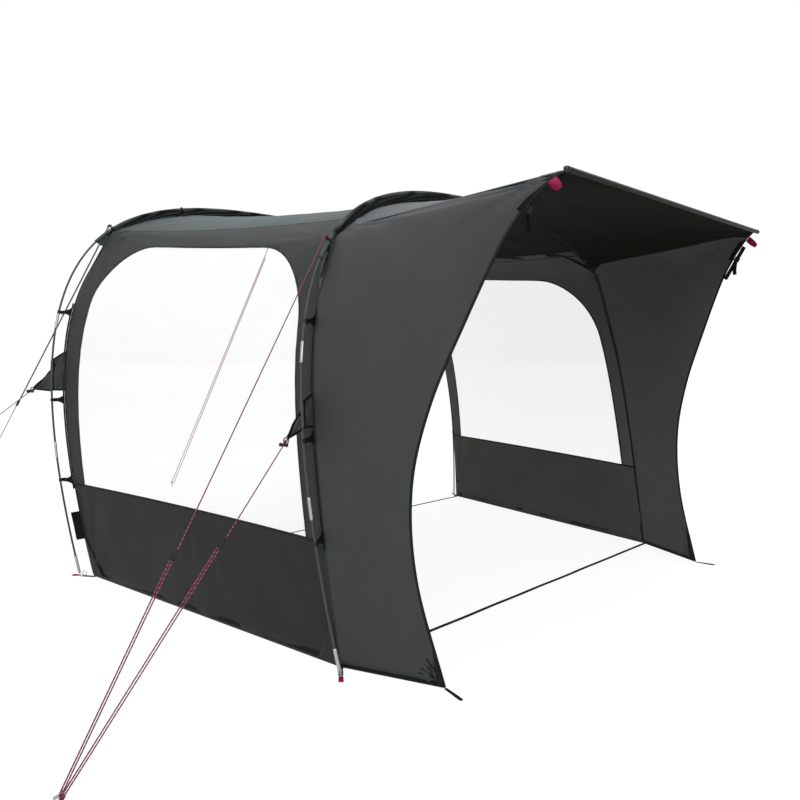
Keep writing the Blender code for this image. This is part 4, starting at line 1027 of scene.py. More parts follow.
def strip(name: str, places: Trail, width: float, finish: Finish, wall: float = TAPE,
          lift: float = 0.0, crown: float = 0.0) -> Piece:
    """A tape that follows a path on a surface.

    Args:
        name: the piece's name.
        places: the path's points, each with the surface's outward direction.
        width: the tape's width.
        finish: its finish.
        wall: its thickness.
        lift: how far its underside is above the surface.
        crown: how far its middle stands above its edges.

    Returns:
        The piece.
    """
    last = len(places) - 1
    sides = []
    for i in range(last + 1):
        ahead = unit(places[min(i + 1, last)][0] - places[max(i - 1, 0)][0])
        sides.append(unit(places[i][1].cross(ahead)))

    def place(a: float, b: float) -> Vector:
        """The point at a share of the length and of the width."""
        i = round(a * last)
        point, out = places[i]
        rise = lift + wall + crown * (1 - (2 * b - 1) ** 2)
        return point + sides[i] * width * (b - 0.5) + out * rise

    # the map starts at both edges of the tape, so that its stitches run beside them
    length = Run([p for p, _ in places]).length
    bm = laid_grid((last, 4), place, lambda a, b: (min(b, 1 - b) * width, a * length))
    bm.normal_update()
    bm.faces.ensure_lookup_table()
    if bm.faces[0].normal.dot(places[0][1]) < 0:
        bmesh.ops.reverse_faces(bm, faces=bm.faces)
    return finished(name, bm, finish, wall=wall)


def band(name: str, points: Sequence[Vector], wide: Vector, width: float, wall: float,
         finish: Finish) -> Piece:
    """A flat tape along a path, its width always along one direction."""
    last = len(points) - 1
    places = []
    for i, point in enumerate(points):
        ahead = points[min(i + 1, last)] - points[max(i - 1, 0)]
        places.append((Vector(point), unit(ahead.cross(wide))))
    return strip(name, places, width, finish, wall, -wall / 2)


def bars(name: str, centre: Vector, run: Vector, wide: Vector,
         parts: Sequence[tuple[Triple, Triple]],
         finish: Finish, edge: float) -> Piece:
    """One moulding of rounded bars, each given by its middle and its size.

    Args:
        name: the piece's name.
        centre: where the moulding's own middle is.
        run: its length's direction.
        wide: its width's direction.
        parts: the bars, measured along the length, the width and the depth.
        finish: its finish.
        edge: how far the edges are rounded.

    Returns:
        The piece.
    """
    bm = bmesh.new()
    run, wide = unit(run), unit(wide - wide.dot(unit(run)) * unit(run))
    depth = run.cross(wide)
    for middle, size in parts:
        made = bmesh.ops.create_cube(bm, size=1.0)["verts"]
        bmesh.ops.scale(bm, verts=made, vec=size)
        bmesh.ops.translate(bm, verts=made, vec=middle)
    bmesh.ops.bevel(bm, geom=bm.edges[:], offset=edge, segments=2, profile=0.5,
                    affect="EDGES", material=-1)
    for vert in bm.verts:
        vert.co = centre + run * vert.co.x + wide * vert.co.y + depth * vert.co.z
    bmesh.ops.recalc_face_normals(bm, faces=bm.faces)
    piece = finished(name, bm, finish)
    for face in piece.data.polygons:
        face.use_smooth = False
    return piece


def folded(name: str, hinge: Vector, out: Vector, length: float, width: float,
           finish: Finish) -> Piece:
    """A tape folded into a flat loop that points away from the line it is sewn to."""
    wide = across(out)
    rise = wide.cross(out)
    gap, bulge = 0.0006, 0.0042
    points = [
        hinge + out * length * math.sin(math.pi * s)
        + rise * (gap + bulge * math.sin(math.pi * s) ** 2) * math.cos(math.pi * s)
        for s in spread(0.0, 1.0, 30)
    ]
    return band(name, points, wide, width, 0.0010, finish)


def plate(name: str, origin: Vector, along: Vector, wide: Vector,
          outline: Sequence[Pair], wall: float, finish: Finish,
          border: float = 0.003, corner: float = 0.003) -> Piece:
    """A flat cut piece with rounded corners and a border.

    Args:
        name: the piece's name.
        origin: where its outline is measured from.
        along: the direction of the outline's first numbers.
        wide: the direction of its second numbers.
        outline: its corners.
        wall: its thickness, shared by both sides.
        finish: its finish.
        border: how wide its border is.
        corner: how far its corners are rounded.

    Returns:
        The piece.
    """
    bm = bmesh.new()
    bm.faces.new([bm.verts.new((x, y, 0)) for x, y in outline])
    bmesh.ops.bevel(bm, geom=bm.verts[:], offset=corner, segments=3, profile=0.5,
                    affect="VERTICES", material=-1)
    rim = {vert: 0.0 for vert in bm.verts}
    bmesh.ops.inset_region(bm, faces=bm.faces[:], thickness=border)
    lay_map(bm, lambda v: (rim.get(v, border), v.co.x + v.co.y))
    along, wide = unit(along), unit(wide)
    for vert in bm.verts:
        vert.co = origin + along * vert.co.x + wide * vert.co.y
    return finished(name, bm, finish, wall=wall, centred=True)


def ringed(name: str, centre: Vector, square: Vector, radius: float, wire: float,
           finish: Finish) -> Piece:
    """A round ring in the plane square to a direction."""
    first = unit(square.orthogonal())
    second = unit(square).cross(first)
    points = [centre + (first * math.cos(turn) + second * math.sin(turn)) * radius
              for turn in spread(0.0, 2 * math.pi, 28)[:-1]]
    return looped(name, points, wire, finish)


def off_outline(point: Vector, outline: Sequence[Pair]) -> float:
    """How far a flat point is from an outline."""
    best = 9.0
    for (ax, ay), (bx, by) in zip(outline, [*outline[1:], outline[0]]):
        dx, dy = bx - ax, by - ay
        long = dx * dx + dy * dy
        share = 0.0 if long == 0 else ((point.x - ax) * dx + (point.y - ay) * dy) / long
        share = min(max(share, 0.0), 1.0)
        best = min(best, math.hypot(point.x - ax - dx * share, point.y - ay - dy * share))
    return best


def cloth_area(piece: Piece) -> float:
    """The area of a sheet's one face."""
    return sum(p.area for p in piece.data.polygons)


def turned_in(places: Trail) -> Trail:
    """The same places seen from inside, on the cloth's inner face."""
    return [(point - out * CLOTH, -out) for point, out in places]


@dataclass(frozen=True)
class Gather:
    """Folds that run out from a corner where a sheet is drawn tight."""

    corner: Pair
    height: float
    count: float
    reach: float

    def rise(self, u: float, t: float, scale: Pair) -> float:
        """How far the folds stand out at two shares of a fabric with this scale."""
        across_x = (u - self.corner[0]) * scale[0]
        across_y = (t - self.corner[1]) * scale[1]
        far = math.hypot(across_x, across_y)
        turn = math.atan2(across_y, across_x)
        bend = noise.noise(Vector((2.1 * turn, 1.5 * far, self.count)))
        wave = math.sin(self.count * turn + 2.0 * bend)
        return self.height * wave * soft_step(far / 0.05) * math.exp(-far / self.reach)


@dataclass(frozen=True)
class Fabric:
    """A fitted surface that sheets, patches and tapes follow.

    The surface gives its point at two shares, the scale says how many metres each share
    is, and the middle is a point inside the awning.
    """

    surface: Place
    scale: Pair
    middle: Vector

    def outward(self, u: float, t: float) -> Vector:
        """The direction out of the surface, away from the awning's inside."""
        surface, step = self.surface, 0.004
        ahead = surface(min(u + step, 1), t) - surface(max(u - step, 0), t)
        up = surface(u, min(t + step, 1)) - surface(u, max(t - step, 0))
        out = unit(ahead.cross(up))
        return out if out.dot(surface(u, t) - self.middle) > 0 else -out

    def trail(self, path: Sequence[Pair]) -> Trail:
        """Points along a path in the surface's shares, with the direction out of it."""
        return [(self.surface(u, t), self.outward(u, t)) for u, t in path]

    def cut(self, name: str, outline: Sequence[Pair], step: float, finish: Finish,
            lining: Finish | None = None, swell: float = 0.0,
            gathers: Sequence[Gather] = (), wall: float = CLOTH, lift: float = 0.0) -> Piece:
        """A sheet of cloth cut to an outline.

        Args:
            name: the piece's name.
            outline: the cut's corners, as shares.
            step: the grid's step in metres.
            finish: the outer face's finish.
            lining: the inner face's finish.
            swell: how far slack makes the cloth stand off, away from its edges.
            gathers: the folds that run out from its corners.
            wall: its thickness.
            lift: how far the whole sheet stands out.

        Returns:
            The piece.
        """
        wide, high = self.scale
        bounds = [(u * wide, t * high) for u, t in outline]
        bm = bmesh.new()
        bm.faces.new([bm.verts.new((x, y, 0)) for x, y in bounds])
        for axis, square in enumerate((Vector((1, 0, 0)), Vector((0, 1, 0)))):
            values = [v.co[axis] for v in bm.verts]
            start, end = min(values), max(values)
            count = max(2, round((end - start) / step))
            for k in range(1, count):
                bmesh.ops.bisect_plane(
                    bm, geom=bm.verts[:] + bm.edges[:] + bm.faces[:], dist=1e-5,
                    plane_co=square * mix(start, end, k / count), plane_no=square)
        lay_map(bm, lambda v: v.co.xy)
        for vert in bm.verts:
            flat = vert.co.copy()
            u, t = flat.x / wide, flat.y / high
            near = off_outline(flat, bounds)
            slack = noise.noise(Vector((flat.x * 2.3, flat.y * 1.3, len(name))))
            slack += 0.5 * noise.noise(Vector((flat.x * 6.1, flat.y * 2.6, 7.0)))
            rise = swell * slack * soft_step(near / SLACK_FADE) + lift
            rise += sum(g.rise(u, t, self.scale) for g in gathers) * soft_step(
                near / FOLD_FADE)
            vert.co = self.surface(u, t) + self.outward(u, t) * rise
        return finished(name, bm, finish, lining, wall, self.middle)

    def patch(self, name: str, outline: Sequence[Pair], finish: Finish,
              inside: bool = False) -> Piece:
        """A reinforcing patch sewn on the surface, outside or in."""
        lift = -(CLOTH + 0.0055) if inside else 0.0045
        return self.cut(name, outline, 0.02, finish, wall=0.0006, lift=lift)


@dataclass
class Report:
    """Takes each finished piece: seats it on its body and logs it."""

    made: int = 0

    def take(self, piece: Piece, body: str, slot: str,
             *nodes: str) -> Piece:
        """Seats a piece on a body.

        Args:
            piece: the piece.
            body: the body it rides on.
            slot: the record's material slot that it takes its finish from.
            nodes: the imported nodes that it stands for.

        Returns:
            The piece.
        """
        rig.ride(piece, body)
        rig.slot(piece, slot)
        if nodes:
            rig.replaces(piece, *nodes)
        self.made += 1
        LOG.info("%s on %s%s", piece.name, body, f", for {', '.join(nodes)}" if nodes else "")
        return piece

    def stretch(self, piece: Piece, slot: str, node: str, flat: Pair,
                *rests_on: str) -> None:
        """Args:
            piece: the sheet.
            slot: the record's material slot that it takes its finish from.
            node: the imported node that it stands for.
            flat: its flat size.
            rests_on: the pieces that carry it.
        """
        self.take(piece, ROOT, slot, node)
        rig.sheet(piece, flat=flat, held="stretched", area=cloth_area(piece),
                 rests_on=list(rests_on))

    def sew(self, owner: str, tapes: Sequence[tuple[str, Trail, float, Finish]]) -> None:
        """Seats tapes along the seams of a sheet, each with its path and width."""
        for name, places, width, finish in tapes:
            tape = strip(f"{owner}_{name}", places, width, finish)
            self.take(tape, ROOT, "black_webbing")

    def bend(self, piece: Piece, body: str, fixed: Vector, moving: Vector,
             slot: str, node: str) -> None:
        """Lets a piece stretch between the root and a body.

        Args:
            piece: the piece.
            body: the body that its moving end follows.
            fixed: where it stays with the root.
            moving: where it follows the body.
            slot: the record's material slot that it takes its finish from.
            node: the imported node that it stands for.
        """
        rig.blend(piece, ROOT, body, start=tuple(fixed), end=tuple(moving))
        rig.slot(piece, slot)
        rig.replaces(piece, node)
        self.made += 1
        LOG.info("%s between %s and %s, for %s", piece.name, ROOT, body, node)


# Studio


@dataclass(frozen=True)
class Studio:
    """The camera at the photograph's place, a pale floor and soft light."""

    eye: Triple = (-3.058, -2.126, 1.277)
    view: Triple = (0.6996, 0.7111, -0.0701)
    lens: float = 31.545
    sky: float = 0.80
    floor_half: float = 60.0
    floor_glow: float = 0.850
    floor_shades: Pair = (0.5, 0.22)
    lamps: tuple[tuple[str, Triple, float, float], ...] = (
        ("key", (-4.5, -5.0, 6.5), 5.0, 230),
        ("top", (0.0, 1.0, 7.5), 6.0, 150),
    )
    lit: Triple = (0, 0.7, 0.9)

    def build(self) -> None:
        """Makes the camera, floor, world and lamps."""
        scene = bpy.context.scene
        scene.view_settings.view_transform = "Standard"
        camera = bpy.data.objects.new("camera", bpy.data.cameras.new("camera"))
        camera.data.lens = self.lens
        camera.data.sensor_width = 36
        camera.data.clip_end = 200
        camera.location = self.eye
        camera.rotation_euler = Vector(self.view).to_track_quat("-Z", "Y").to_euler()
        scene.collection.objects.link(camera)
        scene.camera = camera
        self.floor()
        self.world()
        for name, place, size, power in self.lamps:
            self.lamp(name, place, size, power)

    def floor(self) -> None:
        """A wide white floor that keeps the awning's shadow."""
        bm = bmesh.new()
        bmesh.ops.create_grid(bm, x_segments=1, y_segments=1, size=self.floor_half)
        bmesh.ops.translate(bm, verts=bm.verts, vec=(0, 0, -0.0005))
        mesh = bpy.data.meshes.new("floor")
        bm.to_mesh(mesh)
        bm.free()
        shader = Shader("floor_finish")
        shader.set(Roughness=0.9, Specular_IOR_Level=0.0, Emission_Color=(1, 1, 1, 1))
        seen = shader.seen()
        unseen, shown = ((shade, shade, shade, 1) for shade in self.floor_shades)
        paint = shader.add("MixRGB", {"Fac": seen, "Color1": unseen, "Color2": shown})
        shader.feed("Base Color", paint.outputs["Color"])
        shader.feed("Emission Strength", shader.math("MULTIPLY", seen, self.floor_glow))
        mesh.materials.append(shader.material)
        floor = bpy.data.objects.new("floor", mesh)
        bpy.context.scene.collection.objects.link(floor)
        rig.stage(floor)

    def world(self) -> None:
        """An even sky that the camera, gloss and glass see as white."""
        world = bpy.data.worlds.new("studio")
        bpy.context.scene.world = world
        sky = Nodes(world, "Background")
        sky.set(Color=(1, 1, 1, 1))
        level = sky.add("MapRange", {"Value": sky.seen(), "To Min": self.sky, "To Max": 1.0})
        sky.feed("Strength", level.outputs["Result"])

    def lamp(self, name: str, place: Triple, size: float,
             power: float) -> None:
        """A square area lamp that looks at the awning's middle."""
        light = bpy.data.lights.new(name, "AREA")
        light.size = size
        light.energy = power
        lamp = bpy.data.objects.new(name, light)
        lamp.location = place
        aim = Vector(self.lit) - Vector(place)
        lamp.rotation_euler = aim.to_track_quat("-Z", "Y").to_euler()
        bpy.context.scene.collection.objects.link(lamp)


# Guylines


@dataclass(frozen=True)
class Guyline:
    """One taut line from the awning to its peg, with its runner where it has one."""

    name: str
    start: Triple
    end: Triple
    peg: str
    runner_at: float | None = None
    upward: bool = False
    finish: Finish = CRIMSON_CORD
    back_finish: Finish = CRIMSON_CORD
    toggle: float = 0.0
    radius: float = 0.0023
    twin: float = 0.0045
    sag: float = 0.004
    toggle_half: float = 0.017
    runner: Triple = (0.018, 0.040, 0.006)

    @property
    def run(self) -> Vector:
        """The way along the line."""
        return unit(Vector(self.end) - Vector(self.start))

    @property
    def wide(self) -> Vector:
        """The level direction across the line."""
        return across(self.run)

    def build(self, report: Report, peg: Piece) -> None:
        start, end = Vector(self.start), Vector(self.end)
        taut = [start.lerp(end, s) - UP * (self.sag * 4 * s * (1 - s))
                for s in spread(0.0, 1.0, 18)]
        main = cord_curve(f"{self.name}_line", taut, self.radius, self.finish)
        self.tie(report)
        report.take(main, ROOT, "crimson_cord", f"{self.name}_guyline")
        pieces = [peg]
        if self.runner_at is not None:
            body = f"{self.name}_runner"
            pieces.append(self.slider(report, body))
            self.strand_back(report, body, peg)
        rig.cord(main, exit=tuple(start), length=(end - start).length,
                diameter=2 * self.radius, far_end="fitting", stiffness="limp", lay="taut",
                with_pieces=pieces)

    def strand_back(self, report: Report, body: str, peg: Piece) -> None:
        """The strand from the runner back to the peg, or up to where the line starts."""
        start, end = Vector(self.start), Vector(self.end)
        centre = start.lerp(end, self.runner_at) + self.wide * self.twin
        tied = centre + self.wide * self.twin
        reach = self.run * (self.runner[1] / 2 + 0.0003)
        ends = (start + self.wide * 2 * self.twin, tied - reach) if self.upward else (
            tied + reach, end + self.wide * 2 * self.twin)
        fixed, moving = ends if self.upward else ends[::-1]
        points = [moving.lerp(fixed, k / 18) for k in range(19)]
        back = tube(f"{self.name}_return", points, self.radius, self.back_finish, 8)
        report.bend(back, body, fixed, moving, "crimson_cord", f"{self.name}_guyline_return")
        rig.cord(back, exit=tuple(moving), length=(ends[1] - ends[0]).length,
                diameter=2 * self.radius, far_end="object" if self.upward else "fitting",
                stiffness="limp", lay="taut", path=[tuple(p) for p in points],
                with_pieces=[] if self.upward else [peg])

    def slider(self, report: Report, body: str) -> Piece:
        """The runner: a small bar that the line passes through and is tied to."""
        centre = Vector(self.start).lerp(Vector(self.end), self.runner_at)
        centre += self.wide * self.twin
        wide, long, deep = self.runner
        rail, rung = 0.0042, 0.0050
        parts = [((0, sign * (wide - rail) / 2, 0), (long, rail, deep)) for sign in (-1, 1)]
        parts += [((x * (long - rung), 0, 0), (rung, wide, deep)) for x in (-0.5, -0.12, 0.5)]
        parts.append(((0.19 * long, 0, 0), (0.2 * long, 0.45 * wide, 0.7 * deep)))
        piece = bars(f"{self.name}_slider", centre, self.run, self.wide, parts,
                     BLACK_PLASTIC, 0.0011)
        return report.take(piece, body, "black_plastic", body)

    def tie(self, report: Report) -> None:
        """The knots at both ends, and the toggle and ring at the start."""
        if self.toggle:
            middle = Vector(self.start) + self.run * 0.030
            points = [middle + self.wide * x
                      for x in spread(-self.toggle_half, self.toggle_half, 10)]
            button = tube(f"{self.name}_toggle", points,
                          lambda s: self.toggle - 0.002 * math.sin(math.pi * s),
                          BLACK_PLASTIC)
            report.take(button, ROOT, "black_plastic")
            ring = ringed(f"{self.name}_tip_ring", Vector(self.start) + self.run * 0.010,
                          self.wide, 0.0140, 0.0026, CRIMSON_CORD)
            report.take(ring, ROOT, "crimson_cord")
        for word, end, way in (("top", self.start, 1), ("foot", self.end, -1)):
            middle = Vector(end) + self.run * way * 0.012
            points = [middle + self.run * x for x in spread(-0.009, 0.009, 12)]
            knot = tube(f"{self.name}_{word}_knot", points,
                        lambda s: 0.0020 + 0.0042 * math.sin(math.pi * s) ** 0.6
                        * (0.8 + 0.2 * math.cos(6 * math.pi * s)), self.finish, 12)
            report.take(knot, ROOT, "crimson_cord")


@dataclass(frozen=True)
class CentreGuyline:
    """The line from the outer crown, round its peg and back up to where it is tied."""

    start: Triple = (0.0, 2.2439, 2.2472)
    end: Triple = (0.0, 4.04, 0.034)
    radius: float = 0.0036
    twin: float = 0.0045
    apart: float = 0.012
    turn: float = 0.0072
    tied_at: float = 0.12
    peg_width: float = 0.009

    def route(self) -> list[Vector]:
        """The points of the hairpin."""
        start, end = Vector(self.start), Vector(self.end)
        wide = across(unit(end - start))
        level = unit((end.x - start.x, end.y - start.y, 0))
        tied = start.lerp(end, self.tied_at) + wide * 2 * self.twin
        past = end + level * (self.peg_width + 0.0003 + 2 * self.radius - self.turn)
        turn = [
            past - wide * self.apart * math.cos(math.pi * i / 10)
            + level * self.turn * math.sin(math.pi * i / 10)
            for i in range(11)
        ]
        down = [start.lerp(end - wide * self.apart, k / 14) for k in range(15)]
        back = [(end + wide * self.apart).lerp(tied, k / 12) for k in range(13)]
        return down + turn + back

    def build(self, report: Report, peg: Piece) -> None:
        points = self.route()
        piece = cord_curve("centre_line", points, self.radius, PEACH_CORD)
        report.take(piece, ROOT, "crimson_cord", "centre_guyline")
        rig.cord(piece, exit=self.start, length=Run(points).length, diameter=2 * self.radius,
                far_end="bare", stiffness="limp", lay="taut", with_pieces=[peg])


LINES = (
    Guyline("shoulder", (-1.1583, 0.2586, 1.7691), (-2.424, -0.138, 0.040), "shoulder_peg",
            0.67),
    Guyline("gusset", (-1.4748, 0.1068, 0.9351), (-2.424, -0.138, 0.028), "shoulder_peg",
            0.36, toggle=0.0080),
    Guyline("storm", (-1.7355, 2.2289, 1.0582), (-2.440, 3.993, 0.034), "storm_peg",
            finish=GREY_CORD, toggle=0.0105),
    Guyline("outer", (-1.280, 2.210, 2.045), (-1.957, 3.334, 0.034), "outer_peg", 0.55,
            True, finish=GREY_CORD, back_finish=GREY_CORD),
)


def build_guylines(frame: dict, report: Report) -> None:
    """Every guyline with its runner and peg."""
    pegs = {}
    for name in ("shoulder_peg", "storm_peg", "outer_peg", "centre_peg"):
        pegs[name] = frame["nodes"][name]
        dress(frame, name, SILVER)
    for line in LINES:
        line.build(report, pegs[line.peg])
    CentreGuyline().build(report, pegs["centre_peg"])


def dress(frame: dict, node: str, finish: Finish) -> None:
    """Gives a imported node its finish."""
    slots = frame["nodes"][node].material_slots
    for slot in slots:
        slot.material = finish.material()


# Tunnel


@dataclass(frozen=True)
class Window:
    """Where a window's edge runs in the tunnel's shares."""

    inner_margin: float = 0.100
    outer_margin: float = 0.105
    top_spread: float = 0.045
    top: Pair = (1.725, 1.905)
    corner: float = 0.360

    def side_u(self, outer: bool, share: float) -> float:
        """Where a side of the window runs, at a share of its height."""
        if outer:
            return 1 - (self.outer_margin + self.top_spread * share) / SPACING
        return self.inner_margin / SPACING

    def edge(self, gap: float) -> list[Pair]:
        """The window's edge from its inner foot over its top to its outer foot.

        Args:
            gap: how far the edge is moved into the window.

        Returns:
            The edge's shares.
        """
        made: list[Pair] = []
        for outer in (False, True):
            sign = -1 if outer else 1
            u_foot = self.side_u(outer, 0) + sign * gap / SPACING
            u_side = self.side_u(outer, 1) + sign * gap / SPACING
            top_here = mix(*self.top, u_side) - gap
            foot_z = tunnel(1, u_foot, kick_top(u_foot)).z
            rise = []
            for share in spread(0, 1, 8):
                u = mix(u_foot, u_side, share)
                z = mix(foot_z, top_here - self.corner, share)
                rise.append((u, kick_top(u) if share == 0 else cloth_height(u, z)))
            for k in range(1, 13):
                turn = math.pi / 2 * k / 12
                u = u_side + sign * self.corner * (1 - math.cos(turn)) / SPACING
                top = mix(*self.top, u) - gap
                rise.append((u, cloth_height(u, top - self.corner * (1 - math.sin(turn)))))
            made += rise[::-1] if outer else rise
        return made


@dataclass(frozen=True)
class Tunnel:
    """The roof, walls, kick panels and windows between the two arches."""

    window: Window = Window()
    scale: Pair = (SPACING, 3.0)
    step: float = 0.030
    hem: float = 0.0021
    label_ends: Pair = (0.216, 0.376)
    label_root: Pair = (0.218, 0.374)
    label_off: Pair = (0.001, 0.0022)
    label_size: Pair = (0.051, 0.16)

    def rows(self) -> list[float]:
        """Shares from the inner arch to the outer."""
        return spread(0.0, 1.0, 24)

    def build(self, report: Report) -> None:
        """Makes both sides and the roof."""
        for side in Side:
            self.kick(side, report)
            self.wall(side, report)
            self.pane(side, report)
            self.seams(side, report)
        self.roof(report)
        self.label(report)

    def fabric(self, side: Side) -> Fabric:
        """The tunnel's cloth on one side."""
        return Fabric(lambda u, t: tunnel(side.value, u, t), self.scale, INSIDE)

    def kick(self, side: Side, report: Report) -> None:
        """The mud-proof panel below the window."""
        low = self.hem / self.scale[1]
        outline = (
            [(u, low) for u in self.rows()]
            + [(1.0, t) for t in spread(low, kick_top(1), 8)[1:-1]]
            + [(u, kick_top(u)) for u in self.rows()[::-1]]
            + [(0.0, t) for t in spread(low, kick_top(0), 8)[-2:0:-1]]
        )
        gathers = [Gather((u, 0.0), 0.009, 13, 0.35) for u in (0.0, 1.0)]
        gathers.append(Gather((0.45, kick_top(0.45)), 0.004, 7, 0.9))
        piece = self.fabric(side).cut(f"{side.label}_kick_cloth", outline, self.step,
                                      KICK_CLOTH, KICK_LINING_PAINTED_LIGHT, 0.010, gathers)
        report.stretch(piece, "kick_cloth", f"{side.label}_kick_panel", (1.95, 0.60),
                       f"{side.label}_wall_cloth")

    def wall(self, side: Side, report: Report) -> None:
        """The cloth round the window."""
        edge = self.window.edge(0.0)
        outline = (
            [(0.0, kick_top(0)), *edge, (1.0, kick_top(1))]
            + [(1.0, t) for t in spread(kick_top(1), roof_seam(1), 24)[1:-1]]
            + [(u, roof_seam(u)) for u in self.rows()[::-1]]
            + [(0.0, t) for t in spread(kick_top(0), roof_seam(0), 24)[-2:0:-1]]
        )
        gathers = [Gather((0.0, INNER.loop), 0.007, 17, 0.22),
                   Gather((1.0, OUTER.loop), 0.013, 19, 0.22)]
        piece = self.fabric(side).cut(f"{side.label}_wall_cloth", outline, self.step,
                                      WALL_CLOTH, WALL_LINING_PAINTED_LIGHT, 0.004, gathers)
        report.stretch(piece, "wall_cloth", f"{side.label}_wall", (0.22, 4.30), "roof_sheet")

    def pane(self, side: Side, report: Report) -> None:
        """The clear window."""
        edge = self.window.edge(0.0)
        foot = [(u, kick_top(u)) for u in spread(edge[-1][0], edge[0][0], 20)[1:-1]]
        gathers = [Gather(edge[k], 0.006, 9, 0.5) for k in (12, 30)]
        piece = self.fabric(side).cut(f"{side.label}_window_film", edge + foot, self.step,
                                      FILM, None, 0.008, gathers, 0.0008)
        report.stretch(piece, "clear_film", f"{side.label}_window", (1.75, 1.45),
                       f"{side.label}_wall_cloth")

    def roof(self, report: Report) -> None:
        """The roof from one wall's seam to the other's."""

        def surface(u: float, v: float) -> Vector:
            """The tunnel's cloth, with v from the near foot to the far one."""
            return tunnel(-1 if v < 0 else 1, u, 1 - abs(v))

        rows = self.rows()
        near = [(u, roof_seam(u) - 1) for u in rows]
        far = [(u, -v) for u, v in near[::-1]]
        end = [(1.0, v) for v in spread(near[-1][1], far[0][1], 48)[1:-1]]
        start = [(0.0, v) for v in spread(far[-1][1], near[0][1], 48)[1:-1]]
        gathers = [Gather((u, sign * (1 - arch.loop)), 0.008, 13, 0.3)
                   for u, arch in ((0.0, INNER), (1.0, OUTER)) for sign in (-1, 1)]
        gathers.append(Gather((1.0, OUTER_SECOND_LOOP - 1), 0.006, 11, 0.25))
        # the roof's outer face is painted lighter as lit from above, and its inner face near black as in shade
        piece = Fabric(surface, self.scale, INSIDE).cut(
            "roof_sheet", near + end + far + start, self.step, ROOF_CLOTH_PAINTED_LIT, ROOF_LINING_PAINTED_SHADE, 0.008,
            gathers)
        report.stretch(piece, "roof_cloth", "roof", (1.95, 2.75), "inner_sleeve",
                       "outer_sleeve")

    def seams(self, side: Side, report: Report) -> None:
        """Tapes over the seams, outside and in, and the patches at the corners."""
        fabric, rows = self.fabric(side), self.rows()
        kick = fabric.trail([(u, kick_top(u)) for u in rows])
        roof = fabric.trail([(u, roof_seam(u)) for u in rows])
        strip_in = fabric.trail([(u, roof_seam(u) + 0.013) for u in rows])
        hem = fabric.trail([(u, 0.0045) for u in rows])
        edge = fabric.trail(self.window.edge(-0.003))
        inner, outer = (fabric.trail([(u, t) for t in spread(0.004, 1.0, 60)])
                        for u in (0.003, 0.997))
        report.sew(side.label, (
            ("kick_seam", kick, 0.008, PIPING), ("roof_seam", roof, 0.007, ROOF_SEAM_CLOTH),
            ("hem_tape", hem, 0.018, SEAM_TAPE), ("window_tape", edge, 0.007, SOFT_TAPE),
            ("inner_edge_tape", inner, 0.012, SOFT_TAPE),
            ("outer_edge_tape", outer, 0.012, PIPING),
            ("kick_seam_in", turned_in(kick), 0.010, SEAM_TAPE),
            # the strip inside the roof's edge is the wall cloth running on, in the lining's painted-light colour
            ("wall_strip_in", turned_in(strip_in), 0.052, WALL_LINING_PAINTED_LIGHT),
            ("roof_seam_in", turned_in(roof), 0.009, SEAM_TAPE),
            ("window_zip_in", turned_in(edge), 0.010, SEAM_TAPE),
            ("inner_seam_in", turned_in(inner), 0.006, SEAM_TAPE),
            ("outer_seam_in", turned_in(outer), 0.009, SEAM_TAPE),
        ))
        low, high = 0.003, 0.038
        for name, outline in (("inner", [(0.002, low), (0.062, low), (0.002, high)]),
                              ("outer", [(0.938, low), (0.998, low), (0.998, high)])):
            piece = fabric.patch(f"{side.label}_{name}_foot_patch", outline, KICK_CLOTH)
            report.take(piece, ROOT, "kick_cloth")
        # the inside shoulder patch takes the roof lining's painted-shade colour
        seam = roof_seam(0)
        piece = fabric.patch(f"{side.label}_shoulder_patch", [
            (0.002, seam - 0.055), (0.030, seam - 0.015), (0.075, seam + 0.028),
            (0.002, INNER.loop + 0.035)], ROOF_LINING_PAINTED_SHADE, True)
        report.take(piece, ROOT, "roof_cloth")

    def label(self, report: Report) -> None:
        """The bare flag label, folded from black tape, on the outer arch's near edge."""
        low, high = (OUTER.point(-1, OUTER.at_height(z)) for z in self.label_ends)
        up = unit(high - low)
        middle = (low + high) / 2
        out = OUTER_POLE.point(-1, OUTER.at_height(middle.z)) - middle
        out = unit(out - out.dot(up) * up)
        square = out.cross(up)
        wide, tall = self.label_size

        def place(a: float, b: float) -> Vector:
            """The point at a share of the width and of the height."""
            root = OUTER.point(-1, OUTER.at_height(mix(*self.label_root, b)))
            curl = self.label_off[1] + 0.0035 * a * a * math.sin(2.6 * b + 0.4)
            return root + out * (self.label_off[0] + wide * a) + square * curl

        piece = mapped("flag_label_tape", (12, 24), place, (0.052, tall), EDGE_WEBBING,
                       0.0010, centred=True)
        report.take(piece, "flag_label", "black_webbing", "flag_label")


# Van end


